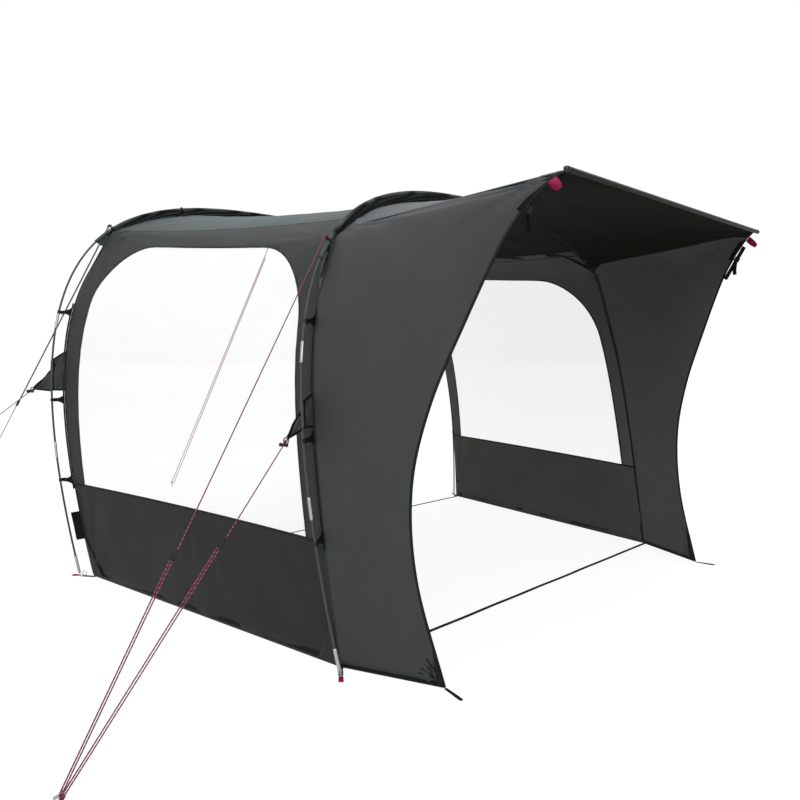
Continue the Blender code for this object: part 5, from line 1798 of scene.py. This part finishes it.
@dataclass(frozen=True)
class VanEnd:
    """The canopy, wings, bar, tabs and straps that meet the van."""

    scale_wing: Pair = (0.9, 1.9)
    scale_canopy: Pair = (1.1, 2.1)
    step: float = 0.028
    low: float = 0.0011
    tab_drop: float = 0.029
    tab_slope: float = 25.0
    strap_drops: Pair = (0.223, 0.061)
    strap_beside: float = 0.0107
    strap_width: float = 0.020
    buckle_at: float = 0.62
    tail_length: float = 0.072

    def build(self, report: Report) -> None:
        """Makes the cloth and its fittings."""
        for side in Side:
            self.wing(side, report)
            self.bands(side, report)
            self.tab(side, report)
            self.edge_strap(side, report)
            self.peg_loop(side, report)
        self.canopy(report)
        self.bar(report)

    def fabric(self, side: Side) -> Fabric:
        """One wing's cloth."""
        return Fabric(lambda a, b: wing(side.value, a, b), self.scale_wing, VAN_INSIDE)

    def wing(self, side: Side, report: Report) -> None:
        """One draught wing."""
        low = self.low
        outline = (
            [(a, low) for a in spread(0, 1, 20)]
            + [(1.0, b) for b in spread(low, 1, 70)[1:-1]]
            + [(a, 1.0) for a in spread(1, 0, 20)]
            + [(0.0, b) for b in spread(1, low, 40)[1:-1]]
        )
        gathers = [Gather((1.0, 0.0), 0.009, 24, 0.16), Gather((0.0, 1.0), 0.008, 12, 0.5),
                   Gather((1.0, 0.93), 0.006, 9, 0.35)]
        piece = self.fabric(side).cut(f"{side.label}_wing_cloth", outline, self.step,
                                      WING_CLOTH, WALL_LINING_PAINTED_LIGHT, 0.007, gathers)
        report.stretch(piece, "wall_cloth", f"{side.label}_wing", (1.05, 2.05),
                       "canopy_sheet")

    def bands(self, side: Side, report: Report) -> None:
        """The wing's bands and seams on both faces, its patches, and dark strips at its tip that paint the shade in
        its folds.
        """
        fabric, name = self.fabric(side), f"{side.label}_wing"
        free = fabric.trail([(0.995, b) for b in spread(0.002, 0.785, 80)])
        top = fabric.trail([(0.978, b) for b in spread(0.78, 0.995, 40)])
        hem = fabric.trail([(a, 0.0048) for a in spread(0.01, 0.99, 20)])
        seam = fabric.trail([(a, 0.997) for a in spread(0.0, 1.0, 24)])
        inner = fabric.trail([(0.006, b) for b in spread(0.002, 1.0, 60)])
        report.sew(name, (
            ("edge_band", free, 0.010, PIPING), ("top_band", top, 0.024, EDGE_WEBBING),
            ("hem_band", hem, 0.013, SEAM_TAPE), ("canopy_seam", seam, 0.007, SEAM_CLOTH),
            ("edge_band_in", turned_in(free), 0.012, SEAM_TAPE),
            ("top_band_in", turned_in(top), 0.024, EDGE_WEBBING),
            ("hem_band_in", turned_in(hem), 0.018, SEAM_TAPE),
            ("canopy_seam_in", turned_in(seam), 0.010, SEAM_TAPE),
            ("arch_seam_in", turned_in(inner), 0.007, SEAM_TAPE),
        ))
        # the inside shoulder patch takes the roof lining's painted-shade colour
        for word, outline, finish, inside in (
            ("tip_patch", [(0.93, 0.003), (0.998, 0.003), (0.998, 0.060)], PIPING, False),
            ("tip_patch_in", [(0.90, 0.003), (0.998, 0.003), (0.998, 0.075)], SEAM_TAPE,
             True),
            ("shoulder_patch_in", [(0.004, 0.925), (0.030, 0.955), (0.095, 0.997),
                                   (0.004, 0.997)], ROOF_LINING_PAINTED_SHADE, True),
            ("bar_patch_in", [(0.90, 0.997), (0.998, 0.93), (0.998, 0.997)], SEAM_TAPE, True),
        ):
            piece = fabric.patch(f"{name}_{word}", outline, finish, inside)
            report.take(piece, ROOT, "wall_cloth")
        # near-black raised strips fanning from the tip are painted shade for the folds there
        for k, (a, b) in enumerate(((0.895, 0.036), (0.860, 0.029), (0.815, 0.022),
                                    (0.785, 0.0155))):
            path = [(mix(0.985, a, s), mix(0.009, b, s) + 0.001 * math.sin(math.pi * s))
                    for s in spread(0.0, 1.0, 12)]
            fold_shade = strip(f"{name}_tuck_{k + 1}", fabric.trail(path), 0.0045, SEAM_TAPE,
                         crown=0.0016)
            report.take(fold_shade, ROOT, "wall_cloth")

    def on_edge(self, side: Side, below_bar: float) -> tuple[Vector, Vector]:
        """The wing's free edge at a drop below the bar, and the way along it."""
        edge, height = EDGES[side.value], BAR.z - below_bar
        s = last_before(lambda s: edge.at(s).z < height, edge.length * 0.5, edge.length)
        return edge.at(s), edge.ahead(s)

    def tab(self, side: Side, report: Report) -> None:
        """The folded crimson tab near the bar, with its eyelet."""
        edge, wide = self.on_edge(side, self.tab_drop)
        slope = math.radians(self.tab_slope)
        down = Vector((0, -math.cos(slope), -math.sin(slope)))
        down = unit(down - down.dot(wide) * wide)
        hinge = edge + down * 0.0016
        half, tip, long, shoulder = 0.018, 0.0108, 0.058, 0.0348
        outline = ((-half, 0), (half, 0), (half, shoulder), (tip, long), (-tip, long),
                   (-half, shoulder))
        body = f"{side.label}_bar_tab"
        piece = plate(f"{body}_webbing", hinge, wide, down, outline, 0.0015,
                      CRIMSON_WEBBING)
        report.take(piece, body, "crimson_webbing", body)
        square = wide.cross(down)
        over = tuple((x * 0.55 - 0.006, 0.002 + y * 0.55) for x, y in outline)
        for sign in (-1, 1):
            layer = plate(f"{body}_fold_{1 if sign > 0 else 2}",
                          hinge + square * sign * 0.0014, wide, down, over, 0.0010,
                          CRIMSON_WEBBING, 0.002, 0.002)
            report.take(layer, body, "crimson_webbing")
            eye = ringed(f"{body}_eyelet_{1 if sign > 0 else 2}",
                         hinge + down * 0.044 + square * sign * 0.0009, square, 0.0048,
                         0.0010, BLACK_PLASTIC)
            report.take(eye, body, "black_plastic")

    def edge_strap(self, side: Side, report: Report) -> None:
        """The tension strap on the wing's edge, its buckle and its loose tail."""
        start, end = (self.on_edge(side, drop)[0] for drop in self.strap_drops)
        run = unit(end - start)
        vanward = Vector((0, -1, 0))
        wide = unit(vanward - vanward.dot(run) * run)
        start, end = start + wide * self.strap_beside, end + wide * self.strap_beside
        strap = band(f"{side.label}_edge_strap_webbing",
                     [start.lerp(end, s) for s in spread(0.0, 1.0, 24)], wide,
                     self.strap_width, 0.0014, EDGE_WEBBING)
        report.take(strap, ROOT, "black_webbing", f"{side.label}_edge_strap")
        body = f"{side.label}_strap_buckle"
        centre = start.lerp(end, self.buckle_at)
        parts = [((0, sign * 0.01235, 0), (0.022, 0.0035, 0.006)) for sign in (-1, 1)]
        parts += [((x, 0, z), (0.0034, 0.0282, 0.0019)) for x in (-0.0093, 0.0, 0.0093)
                  for z in (-0.00205, 0.00205)]
        buckle = bars(f"{body}_frame", centre, run, wide, parts, BLACK_PLASTIC, 0.0006)
        report.take(buckle, body, "black_plastic", body)
        face = run.cross(wide) * -side.value
        foot = centre - run * 0.010 + face * 0.0040
        drop = [foot + face * (0.010 * math.sin(2.4 * s)) - UP * (self.tail_length * s)
                - run * 0.010 * s * (1 - s) for s in spread(0.0, 1.0, 20)]
        tail = band(f"{body}_tail", drop, wide, 0.019, 0.0013, EDGE_WEBBING)
        report.take(tail, body, "black_webbing")

    def peg_loop(self, side: Side, report: Report) -> None:
        """The doubled tape at the wing's tip."""
        tip = wing_corners(side.value)[1]
        out = unit((side.value * 0.24, -1, 0))
        hinge = tip + out * 0.0006
        hinge.z = 0.00285
        body = f"{side.label}_wing_peg_loop"
        piece = folded(f"{body}_tape", hinge, out, 0.105, 0.0122, EDGE_WEBBING)
        report.take(piece, body, "black_webbing", body)

    def canopy(self, report: Report) -> None:
        """The sloping canopy from the inner arch to the bar."""
        outline = (
            [(a, 0.0) for a in spread(0, 1, 24)]
            + [(1.0, b) for b in spread(0, 1, 40)[1:-1]]
            + [(a, 1.0) for a in spread(1, 0, 24)]
            + [(0.0, b) for b in spread(1, 0, 60)[1:-1]]
        )
        gathers = [Gather((a, b), 0.009, count, 0.45)
                   for a, b, count in ((0.0, 0.02, 14), (0.0, 0.98, 14), (1.0, 0.0, 11),
                                       (1.0, 1.0, 11))]
        # the canopy's outer face is painted lighter as lit from above, and its inner face near black as in shade
        fabric = Fabric(canopy, self.scale_canopy, VAN_INSIDE)
        piece = fabric.cut("canopy_sheet", outline, self.step, CANOPY_CLOTH_PAINTED_LIT, CANOPY_LINING_PAINTED_SHADE,
                           0.010, gathers)
        report.stretch(piece, "roof_cloth", "canopy", (1.15, 2.75), "bar_sleeve_cloth")
        for name, corners in (
            ("near", [(0.90, 0.003), (0.997, 0.003), (0.997, 0.06)]),
            ("far", [(0.90, 0.997), (0.997, 0.94), (0.997, 0.997)]),
        ):
            corner = fabric.patch(f"{name}_canopy_patch", corners, SEAM_TAPE)
            report.take(corner, ROOT, "roof_cloth")
        edge = fabric.trail([(0.993, b) for b in spread(0.01, 0.99, 60)])
        hem = strip("canopy_bar_hem", edge, 0.012, PIPING)
        report.take(hem, ROOT, "roof_cloth")

    def bar(self, report: Report) -> None:
        """The round bar in its sleeve, with a cap at each end and a painted highlight along the sleeve's side that
        faces the camera.
        """
        tip = BAR_HALF + 0.016
        points = [BAR + Vector((x, 0, 0)) for x in spread(-tip, tip, 60)]
        rod = tube("van_bar_rod", points, 0.008, ROD_FINISH, 20)
        report.take(rod, ROOT, "pole_fibre", "van_bar")
        ends = [BAR + Vector((x, 0, 0)) for x in
                spread(-BAR_SLEEVE_HALF, BAR_SLEEVE_HALF, 240)]
        sleeve = tube("bar_sleeve_cloth", ends,
                      lambda s: 0.0098 + 0.0006 * noise.noise(Vector((s * 60, 3, 1))),
                      BAR_CLOTH, 24)
        report.take(sleeve, ROOT, "wall_cloth", "bar_sleeve")
        for side in Side:
            start = BAR + Vector((side.value * BAR_HALF, 0, 0))
            end = BAR + Vector((side.value * tip, 0, 0))
            cap = tube(f"{side.label}_bar_cap", [start.lerp(end, k / 12) for k in range(13)],
                       lambda s: 0.0106 * math.sqrt(1 - 0.93 * max(0.0, (s - 0.1) / 0.9) ** 2),
                       BLACK_PLASTIC, 24)
            report.take(cap, ROOT, "pole_fibre")
        # a pale strip along the side that faces the camera is a painted highlight
        facing = unit((0, -0.97, 0.24))
        highlight_line = [(point + facing * 0.0101, facing) for point in ends]
        piping = strip("bar_piping", highlight_line, 0.0032, BAR_PAINTED_HIGHLIGHT, 0.0007)
        report.take(piping, ROOT, "wall_cloth")


# Pole frames


@dataclass(frozen=True)
class PoleFrame:
    """One arch of rods with its sleeve, clips and feet."""

    name: str
    arch: Arch
    cloth: Arch
    rod: float
    first: float
    sleeve_from: float
    clip_heights: tuple[float, ...]
    gusset_at: float
    gusset_base: float
    gusset_reach: float
    gusset_line: Guyline
    loops: tuple[float, ...]
    rod_radius: float = 0.0055
    ferrule_radius: float = 0.0072
    ferrule_length: float = 0.090
    foot_from: float = 0.0203
    foot_length: float = 0.095
    foot_radius: float = 0.0080
    sleeve_radius: float = 0.0093
    sleeve_columns: int = 54
    web_columns: int = 20
    web_height: float = 0.16
    pleat_depth: float = 0.012
    hook_height: float = 0.016
    hook_turns: Pair = (25.0, 310.0)
    web_heights: Pair = (0.018, 0.060)
    loop_radius: float = 0.0130
    loop_wire: float = 0.0024
    loop_bulges: Pair = (0.017, 0.003)

    def joints(self, run: Run) -> list[float]:
        """The lengths at which two rods meet."""
        half, s = [], self.first
        while s < run.length / 2 - self.rod / 3:
            half.append(s)
            s += self.rod
        return half + [run.length - s for s in half[::-1]]

    def build(self, report: Report) -> None:
        """Makes the rods, ferrules, foot tubes, sleeve and clips."""
        run = self.arch.whole()
        points = run.stretch(self.foot_from + 0.01, run.length - self.foot_from - 0.01, 220)
        rods = tube(f"{self.name}_rods", points, self.rod_radius, ROD_FINISH, 14)
        report.take(rods, ROOT, "pole_fibre", f"{self.name}_pole")
        for k, s in enumerate(self.joints(run)):
            half = self.ferrule_length / 2
            covered = run.at(s).z > self.sleeve_from - 0.06
            ferrule = tube(f"{self.name}_ferrule_{k + 1}", run.stretch(s - half, s + half, 8),
                           0.0064 if covered else self.ferrule_radius, SILVER, 18)
            report.take(ferrule, ROOT, "silver_metal")
        for side in Side:
            start = self.foot_from if side is Side.NEAR else run.length - self.foot_from
            end = start - side.value * self.foot_length
            foot = tube(f"{side.label}_{self.name}_foot_tube", run.stretch(start, end, 8),
                        self.foot_radius, SILVER, 18)
            report.take(foot, ROOT, "silver_metal")
            self.clips(side, run, report)
            for k, t in enumerate(self.loops):
                self.loop(side, k, t, report)
        self.sleeve(report)
        self.gusset(run, report)
        self.ground(run, report)

    def sleeve(self, report: Report) -> None:
        """The gathered sleeve round the pole and the web that hangs the roof from it."""
        low = self.arch.at_height(self.sleeve_from)
        shares = [(-1, t) for t in spread(low, 1, 150)]
        shares += [(1, t) for t in spread(1, low, 150)[1:]]
        last = len(shares) - 1
        square, web, columns = self.arch.square, self.web_columns, self.sleeve_columns

        def place(a: float, b: float) -> Vector:
            """The point along the arch, and up one web, round the pole, down the other."""
            side, t = shares[round(a * last)]
            top, foot = self.arch.point(side, t), self.cloth.point(side, t)
            hang = (foot - top).length
            ahead = self.arch.point(side, t + 1e-3) - self.arch.point(side, t - 1e-3)
            inward = unit(ahead.cross(square)) * side
            inward = inward if inward.z < 0 else -inward
            pleat = 0.5 * noise.noise(Vector((a * 55, 2.0, self.first * 9)))
            k = b * columns
            if k < web or k > columns - web:
                share = (web - k) / web if k < web else (k - columns + web) / web
                sign = -1 if k < web else 1
                deep = self.pleat_depth * min(1.0, hang / 0.06)
                deep *= math.sin(math.pi * share) ** 0.7
                wave = (pleat * 0.4 + self.fold(a, share)) * deep
                start = top + inward * self.sleeve_radius
                return start.lerp(foot, share) + square * (sign * 0.0006 + wave)
            turn = (k - web) / (columns - 2 * web) * 2 * math.pi
            radius = self.sleeve_radius * (1 + 0.16 * pleat)
            return top + inward * math.cos(turn) * radius - square * math.sin(turn) * radius

        length = self.arch.whole().length * 0.6
        piece = mapped(f"{self.name}_sleeve_cloth", (last, columns), place,
                       (length, self.web_height), SLEEVE_CLOTH, TAPE, centred=True)
        # each corner's pleat value sets the painted shade and highlight; below the first loop the painted shade is
        # left out and the sleeve takes the crests' lighter tone
        flat = piece.data.uv_layers[0].data
        depth = piece.data.attributes.new(PLEAT_SHADE, "FLOAT", "POINT")
        for corner in piece.data.loops:
            a, b = flat[corner.index].uv.x / length, flat[corner.index].uv.y / self.web_height
            t = shares[round(a * last)][1]
            share = max(0.0, (abs(b - 0.5) * columns - columns / 2 + web) / web)
            plain = 1.0 - soft_step((t - self.loops[0]) / 0.03)
            depth.data[corner.vertex_index].value = mix(self.fold(a, share), 1.5, plain)
        report.take(piece, ROOT, "roof_cloth", f"{self.name}_sleeve")
        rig.sheet(piece, flat=(3.2, 0.30), held="gathered",
                 area=min(cloth_area(piece), 0.95), rests_on=[f"{self.name}_rods"])

    def fold(self, a: float, share: float) -> float:
        """How far a pleat stands out, from -1 to 1, along the arch and down its web; it shapes the web and sets its
        painted shade.
        """
        turn = 13 * abs(a - 0.5) - 1.8 * share
        loose = 2.6 * noise.noise(Vector((a * 17, share * 1.2, self.first * 9)))
        return 2 * (0.5 + 0.5 * math.sin(2 * math.pi * turn + loose)) ** 0.75 - 1

    def clips(self, side: Side, run: Run, report: Report) -> None:
        """Hooks round the pole, each on a fan of webbing sewn to the cloth's edge."""
        lowest, highest = self.clip_heights[0] - 0.05, self.clip_heights[-1] + 0.05
        places = []
        for z in spread(lowest, highest, 40):
            t = self.cloth.at_height(z)
            edge, pole = self.cloth.point(side.value, t), self.arch.point(side.value, t)
            places.append((edge + unit(pole - edge) * 0.006, self.arch.square))
        tape = strip(f"{side.label}_{self.name}_clip_tape", places, 0.009, PIPING, 0.0012,
                     -0.0006)
        report.take(tape, ROOT, "black_plastic", f"{side.label}_{self.name}_leg_clips")
        for k, height in enumerate(self.clip_heights):
            self.clip(side, k, height, run, report)

    def clip(self, side: Side, number: int, height: float, run: Run,
             report: Report) -> None:
        """One hook round the pole, its frame and its web."""
        s = self.length_at(side, height, run)
        here, up = run.at(s), run.ahead(s)
        if up.z < 0:
            up = -up
        edge = self.cloth.point(side.value, self.cloth.at_height(height)) - here
        inward = unit(edge - edge.dot(up) * up)
        beside = up.cross(inward)

        def hook(a: float, b: float) -> Vector:
            """The hook's outer face round the pole, open towards the cloth."""
            start, sweep = (math.radians(turn) for turn in self.hook_turns)
            turn = start + b * sweep
            out = inward * math.cos(turn) + beside * math.sin(turn)
            return here + up * self.hook_height * (a - 0.5) + out * (self.rod_radius + 0.0026)

        def fan(a: float, b: float) -> Vector:
            """The web that widens from the hook to the cloth's edge."""
            near = here + inward * (self.rod_radius + 0.002) + up * 0.018 * (b - 0.5)
            t = self.cloth.at_height(height + mix(*self.web_heights, a**2.2) * (b - 0.5))
            far, pole = self.cloth.point(side.value, t), self.arch.point(side.value, t)
            return near.lerp(far + unit(pole - far) * 0.004, a)

        name = f"{side.label}_{self.name}_clip_{number + 1}"
        piece = mapped(name, (4, 18), hook, (self.hook_height, 0.05), BLACK_PLASTIC, 0.0024,
                       here)
        report.take(piece, ROOT, "black_plastic")
        parts = [((x, 0, 0), (0.0030, 0.0210, 0.0040)) for x in (-0.0085, 0.0085)]
        parts += [((0, y, 0), (0.0200, 0.0030, 0.0040)) for y in (-0.0090, 0.0090)]
        frame = bars(f"{name}_frame", here + inward * 0.0190, up, inward, parts,
                     BLACK_PLASTIC, 0.0007)
        report.take(frame, ROOT, "black_plastic")
        web = mapped(f"{name}_web", (8, 8), fan, (edge.length, 0.06), SEAM_TAPE, 0.0012,
                     centred=True)
        report.take(web, ROOT, "black_plastic")

    def gusset(self, run: Run, report: Report) -> None:
        """The near gusset: a web from the cloth, a cuff on the pole and a point."""
        name = f"near_{self.name}_gusset"
        base, way = self.gusset_base, self.gusset_line.run
        s = self.length_at(Side.NEAR, self.gusset_at, run)
        centre = run.at(s)
        tip = centre + way * self.gusset_reach
        square = unit(run.ahead(s).cross(way))

        def pole(share: float) -> Vector:
            """The pole inside the cuff."""
            return run.at(s + base * (share - 0.5))

        def point(a: float, b: float) -> Vector:
            """The gusset's outer triangle, from the pole to its tip."""
            start = pole(0.66 * a) + way * (self.rod_radius + 0.0014)
            fold = 0.006 * math.sin(math.pi * b) * math.sin(9 * a + 5 * b)
            return start.lerp(tip, 0.985 * b) + square * fold

        piece = mapped(f"{name}_cloth", (14, 16), point, (base, self.gusset_reach),
                       PIPING_CLOTH, wall=CLOTH, centred=True)
        report.take(piece, ROOT, "black_webbing", name)
        cuff = tube(f"{name}_cuff", [pole(a) for a in spread(0.0, 1.0, 30)],
                    lambda a: 0.0074 + 0.0006 * noise.noise(Vector((a * 9, base * 40, 4))),
                    SEAM_CLOTH, 16)
        report.take(cuff, ROOT, "black_webbing")
        heights = (self.gusset_at - base / 2, self.gusset_at + base / 2 + base * 0.28)

        def web(a: float, b: float) -> Vector:
            """The web between the cloth's edge and the pole."""
            t = self.cloth.at_height(mix(*heights, b))
            edge = self.cloth.point(-1, t)
            fold = 0.005 * math.sin(math.pi * a) * math.sin(7 * b + 4 * a)
            return edge.lerp(pole(b), a * 0.93) + self.arch.square * fold

        sheet = mapped(f"{name}_web", (14, 18), web, (0.08, base), PIPING_CLOTH, wall=CLOTH,
                       centred=True)
        report.take(sheet, ROOT, "black_webbing")
        rows = spread(0.0, 1.0, 20)
        edges = {
            "upper": ([point(1, b) for b in rows], square, 0.016),
            "lower": ([point(0, b) for b in rows], square, 0.010),
            "web_upper": ([web(a, 1) for a in rows], self.arch.square, 0.009),
            "web_lower": ([web(a, 0) for a in rows], self.arch.square, 0.008),
            "web_pole": ([web(0.90, b) for b in rows], self.arch.square, 0.015),
        }
        for word, (path, out, width) in edges.items():
            places = [(p, out) for p in path]
            tape = strip(f"{name}_{word}_tape", places, width, EDGE_WEBBING, 0.0028,
                         -0.0014, 0.0004)
            report.take(tape, ROOT, "black_webbing")

    def loop(self, side: Side, number: int, t: float, report: Report) -> None:
        """An elastic loop round the sleeve, with its tab, bead and hanging tapes."""
        name = f"{side.label}_{self.name}_loop_{number + 1}"
        here = self.arch.point(side.value, t)
        up = unit(self.arch.point(side.value, t + 0.002) - here)
        down = self.cloth.point(side.value, t) - here
        down = unit(down - down.dot(up) * up)
        beside = up.cross(down)

        def turned(turn: float, radius: float) -> Vector:
            """The point round the pole at an angle from the cloth's side."""
            return here + (down * math.cos(turn) + beside * math.sin(turn)) * radius

        turns = spread(0.0, 2 * math.pi, 40)[:-1]
        bulge = self.loop_bulges[number]
        ring = [turned(x, self.loop_radius + bulge * math.exp(-(((x - math.pi) / 0.34) ** 2)))
                for x in turns]
        node = {("near", "inner", 0): "shoulder_loop", ("near", "outer", 0): "outer_loop"}
        nodes = [node[k] for k in [(side.label, self.name, number)] if k in node]
        cord = looped(f"{name}_cord", ring, self.loop_wire, CRIMSON_CORD)
        report.take(cord, ROOT, "crimson_cord", *nodes)
        wrap = [(turned(x, 0.0106), unit(turned(x, 1.0) - here))
                for x in spread(0.10, 2 * math.pi - 0.10, 32)]
        tab = strip(f"{name}_tab", wrap, 0.016, EDGE_WEBBING, 0.0011)
        report.take(tab, ROOT, "black_webbing")
        bead = bars(f"{name}_bead", turned(math.pi, 0.0045 + bulge), up, beside,
                    [((0, 0, 0), (0.013, 0.012, 0.011))], BLACK_PLASTIC, 0.0025)
        report.take(bead, ROOT, "black_plastic")
        self.hangers(side, name, t, report)

    def hangers(self, side: Side, name: str, t: float, report: Report) -> None:
        """The tapes that hang from a loop along its web, a long and a short one."""
        for k, (sign, length) in enumerate(((-1, 0.055), (1, 0.030))):
            path = []
            for x in spread(0.0, 1.0, 10):
                spot = self.arch.point(side.value, t - length * 0.45 * x)
                foot = self.cloth.point(side.value, t - length * 0.45 * x)
                edge = spot.lerp(foot, min(0.9, 0.25 + 0.8 * x))
                path.append((edge + self.arch.square * sign * (0.0105 - 0.006 * x),
                             self.arch.square * sign))
            tape = strip(f"{name}_hanger_{k + 1}", path, 0.011, EDGE_WEBBING, 0.0011)
            report.take(tape, ROOT, "black_webbing")

    def ground(self, run: Run, report: Report) -> None:
        """The peg loops at the feet and the strap along the ground between them."""
        path: list[Vector] = []
        for side in Side:
            here = run.at(0.0 if side is Side.NEAR else run.length)
            nearby = run.at(0.02 if side is Side.NEAR else run.length - 0.02)
            corner = self.cloth.point(side.value, 0)
            inward = unit((corner.x - here.x, corner.y - here.y, 0))
            hoop = here + unit(nearby - here) * 0.0031 + inward * 0.010
            hoop.z = 0.0031
            hinge = hoop - inward * 0.0134
            body = f"{side.label}_{self.name}_peg_loop"
            loop = folded(f"{body}_webbing", hinge, -inward, 0.0445, 0.020,
                          CRIMSON_WEBBING)
            report.take(loop, body, "crimson_webbing", body)
            centre = Vector((here.x, here.y, 0.0168)) + inward * 0.027
            ring = ringed(f"{side.label}_{self.name}_foot_ring", centre,
                          inward.cross(UP), 0.0125, 0.0020, SILVER)
            report.take(ring, ROOT, "silver_metal")
            ends = [hoop, corner] if side is Side.NEAR else [corner, hoop]
            path += [Vector((p.x, p.y, 0.0)) for p in ends]
        near_hoop, near, far, far_hoop = path
        line = [near_hoop.lerp(near, k / 4) for k in range(4)]
        line += [near.lerp(far, k / 90) + Vector((0, 0.003 * noise.noise(
            Vector((k * 0.13, self.first, 2))), 0)) for k in range(91)]
        line += [far.lerp(far_hoop, k / 4) for k in range(1, 5)]
        strap = strip(f"{self.name}_ground_webbing", [(p, UP) for p in line], 0.020,
                      EDGE_WEBBING, 0.0013, 0.0002)
        report.take(strap, ROOT, "black_webbing", f"{self.name}_ground_strap")

    def length_at(self, side: Side, height: float, run: Run) -> float:
        """The length of the pole at a height on one side."""
        s = last_before(lambda s: run.at(s).z < height, 0.0, run.length / 2)
        return s if side is Side.NEAR else run.length - s


FRAMES = (
    PoleFrame("inner", INNER_POLE, INNER, 0.63, 0.67, 1.670, (0.52, 0.92, 1.40),
              1.02, 0.10, 0.125, LINES[1], (INNER_POLE.at_height(1.750),)),
    PoleFrame("outer", OUTER_POLE, OUTER, 0.74, 0.73, 1.930, (0.55, 1.00, 1.50),
              1.14, 0.17, 0.172, LINES[2],
              (OUTER_POLE.at_height(2.020), OUTER_SECOND_LOOP)),
)


def dress_packed_nodes(frame: dict) -> None:
    """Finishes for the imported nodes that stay: pins and zip sliders."""
    for side in Side:
        for arch in FRAMES:
            dress(frame, f"{side.label}_{arch.name}_pin", SILVER)
        dress(frame, f"{side.label}_zip_slider", BLACK_PLASTIC)


def write_sizes(packed: tuple, path: str = "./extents.json") -> None:
    """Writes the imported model's box and the dressed one's."""
    boxes = {"cad": packed, "visual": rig.bounds()}
    plain = {k: [[round(float(c), 5) for c in corner] for corner in v]
             for k, v in boxes.items()}
    with open(path, "w") as out:
        json.dump(plain, out)


def main() -> None:
    """Builds the awning's looks in order."""
    logging.basicConfig(level=logging.INFO, format="%(message)s")
    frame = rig.load()
    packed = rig.bounds()
    report = Report()
    Studio().build()
    build_guylines(frame, report)
    dress_packed_nodes(frame)
    Tunnel().build(report)
    VanEnd().build(report)
    for arch in FRAMES:
        arch.build(report)
    LOG.info("%d pieces", report.made)
    write_sizes(packed)


if __name__ == "__main__":
    main()
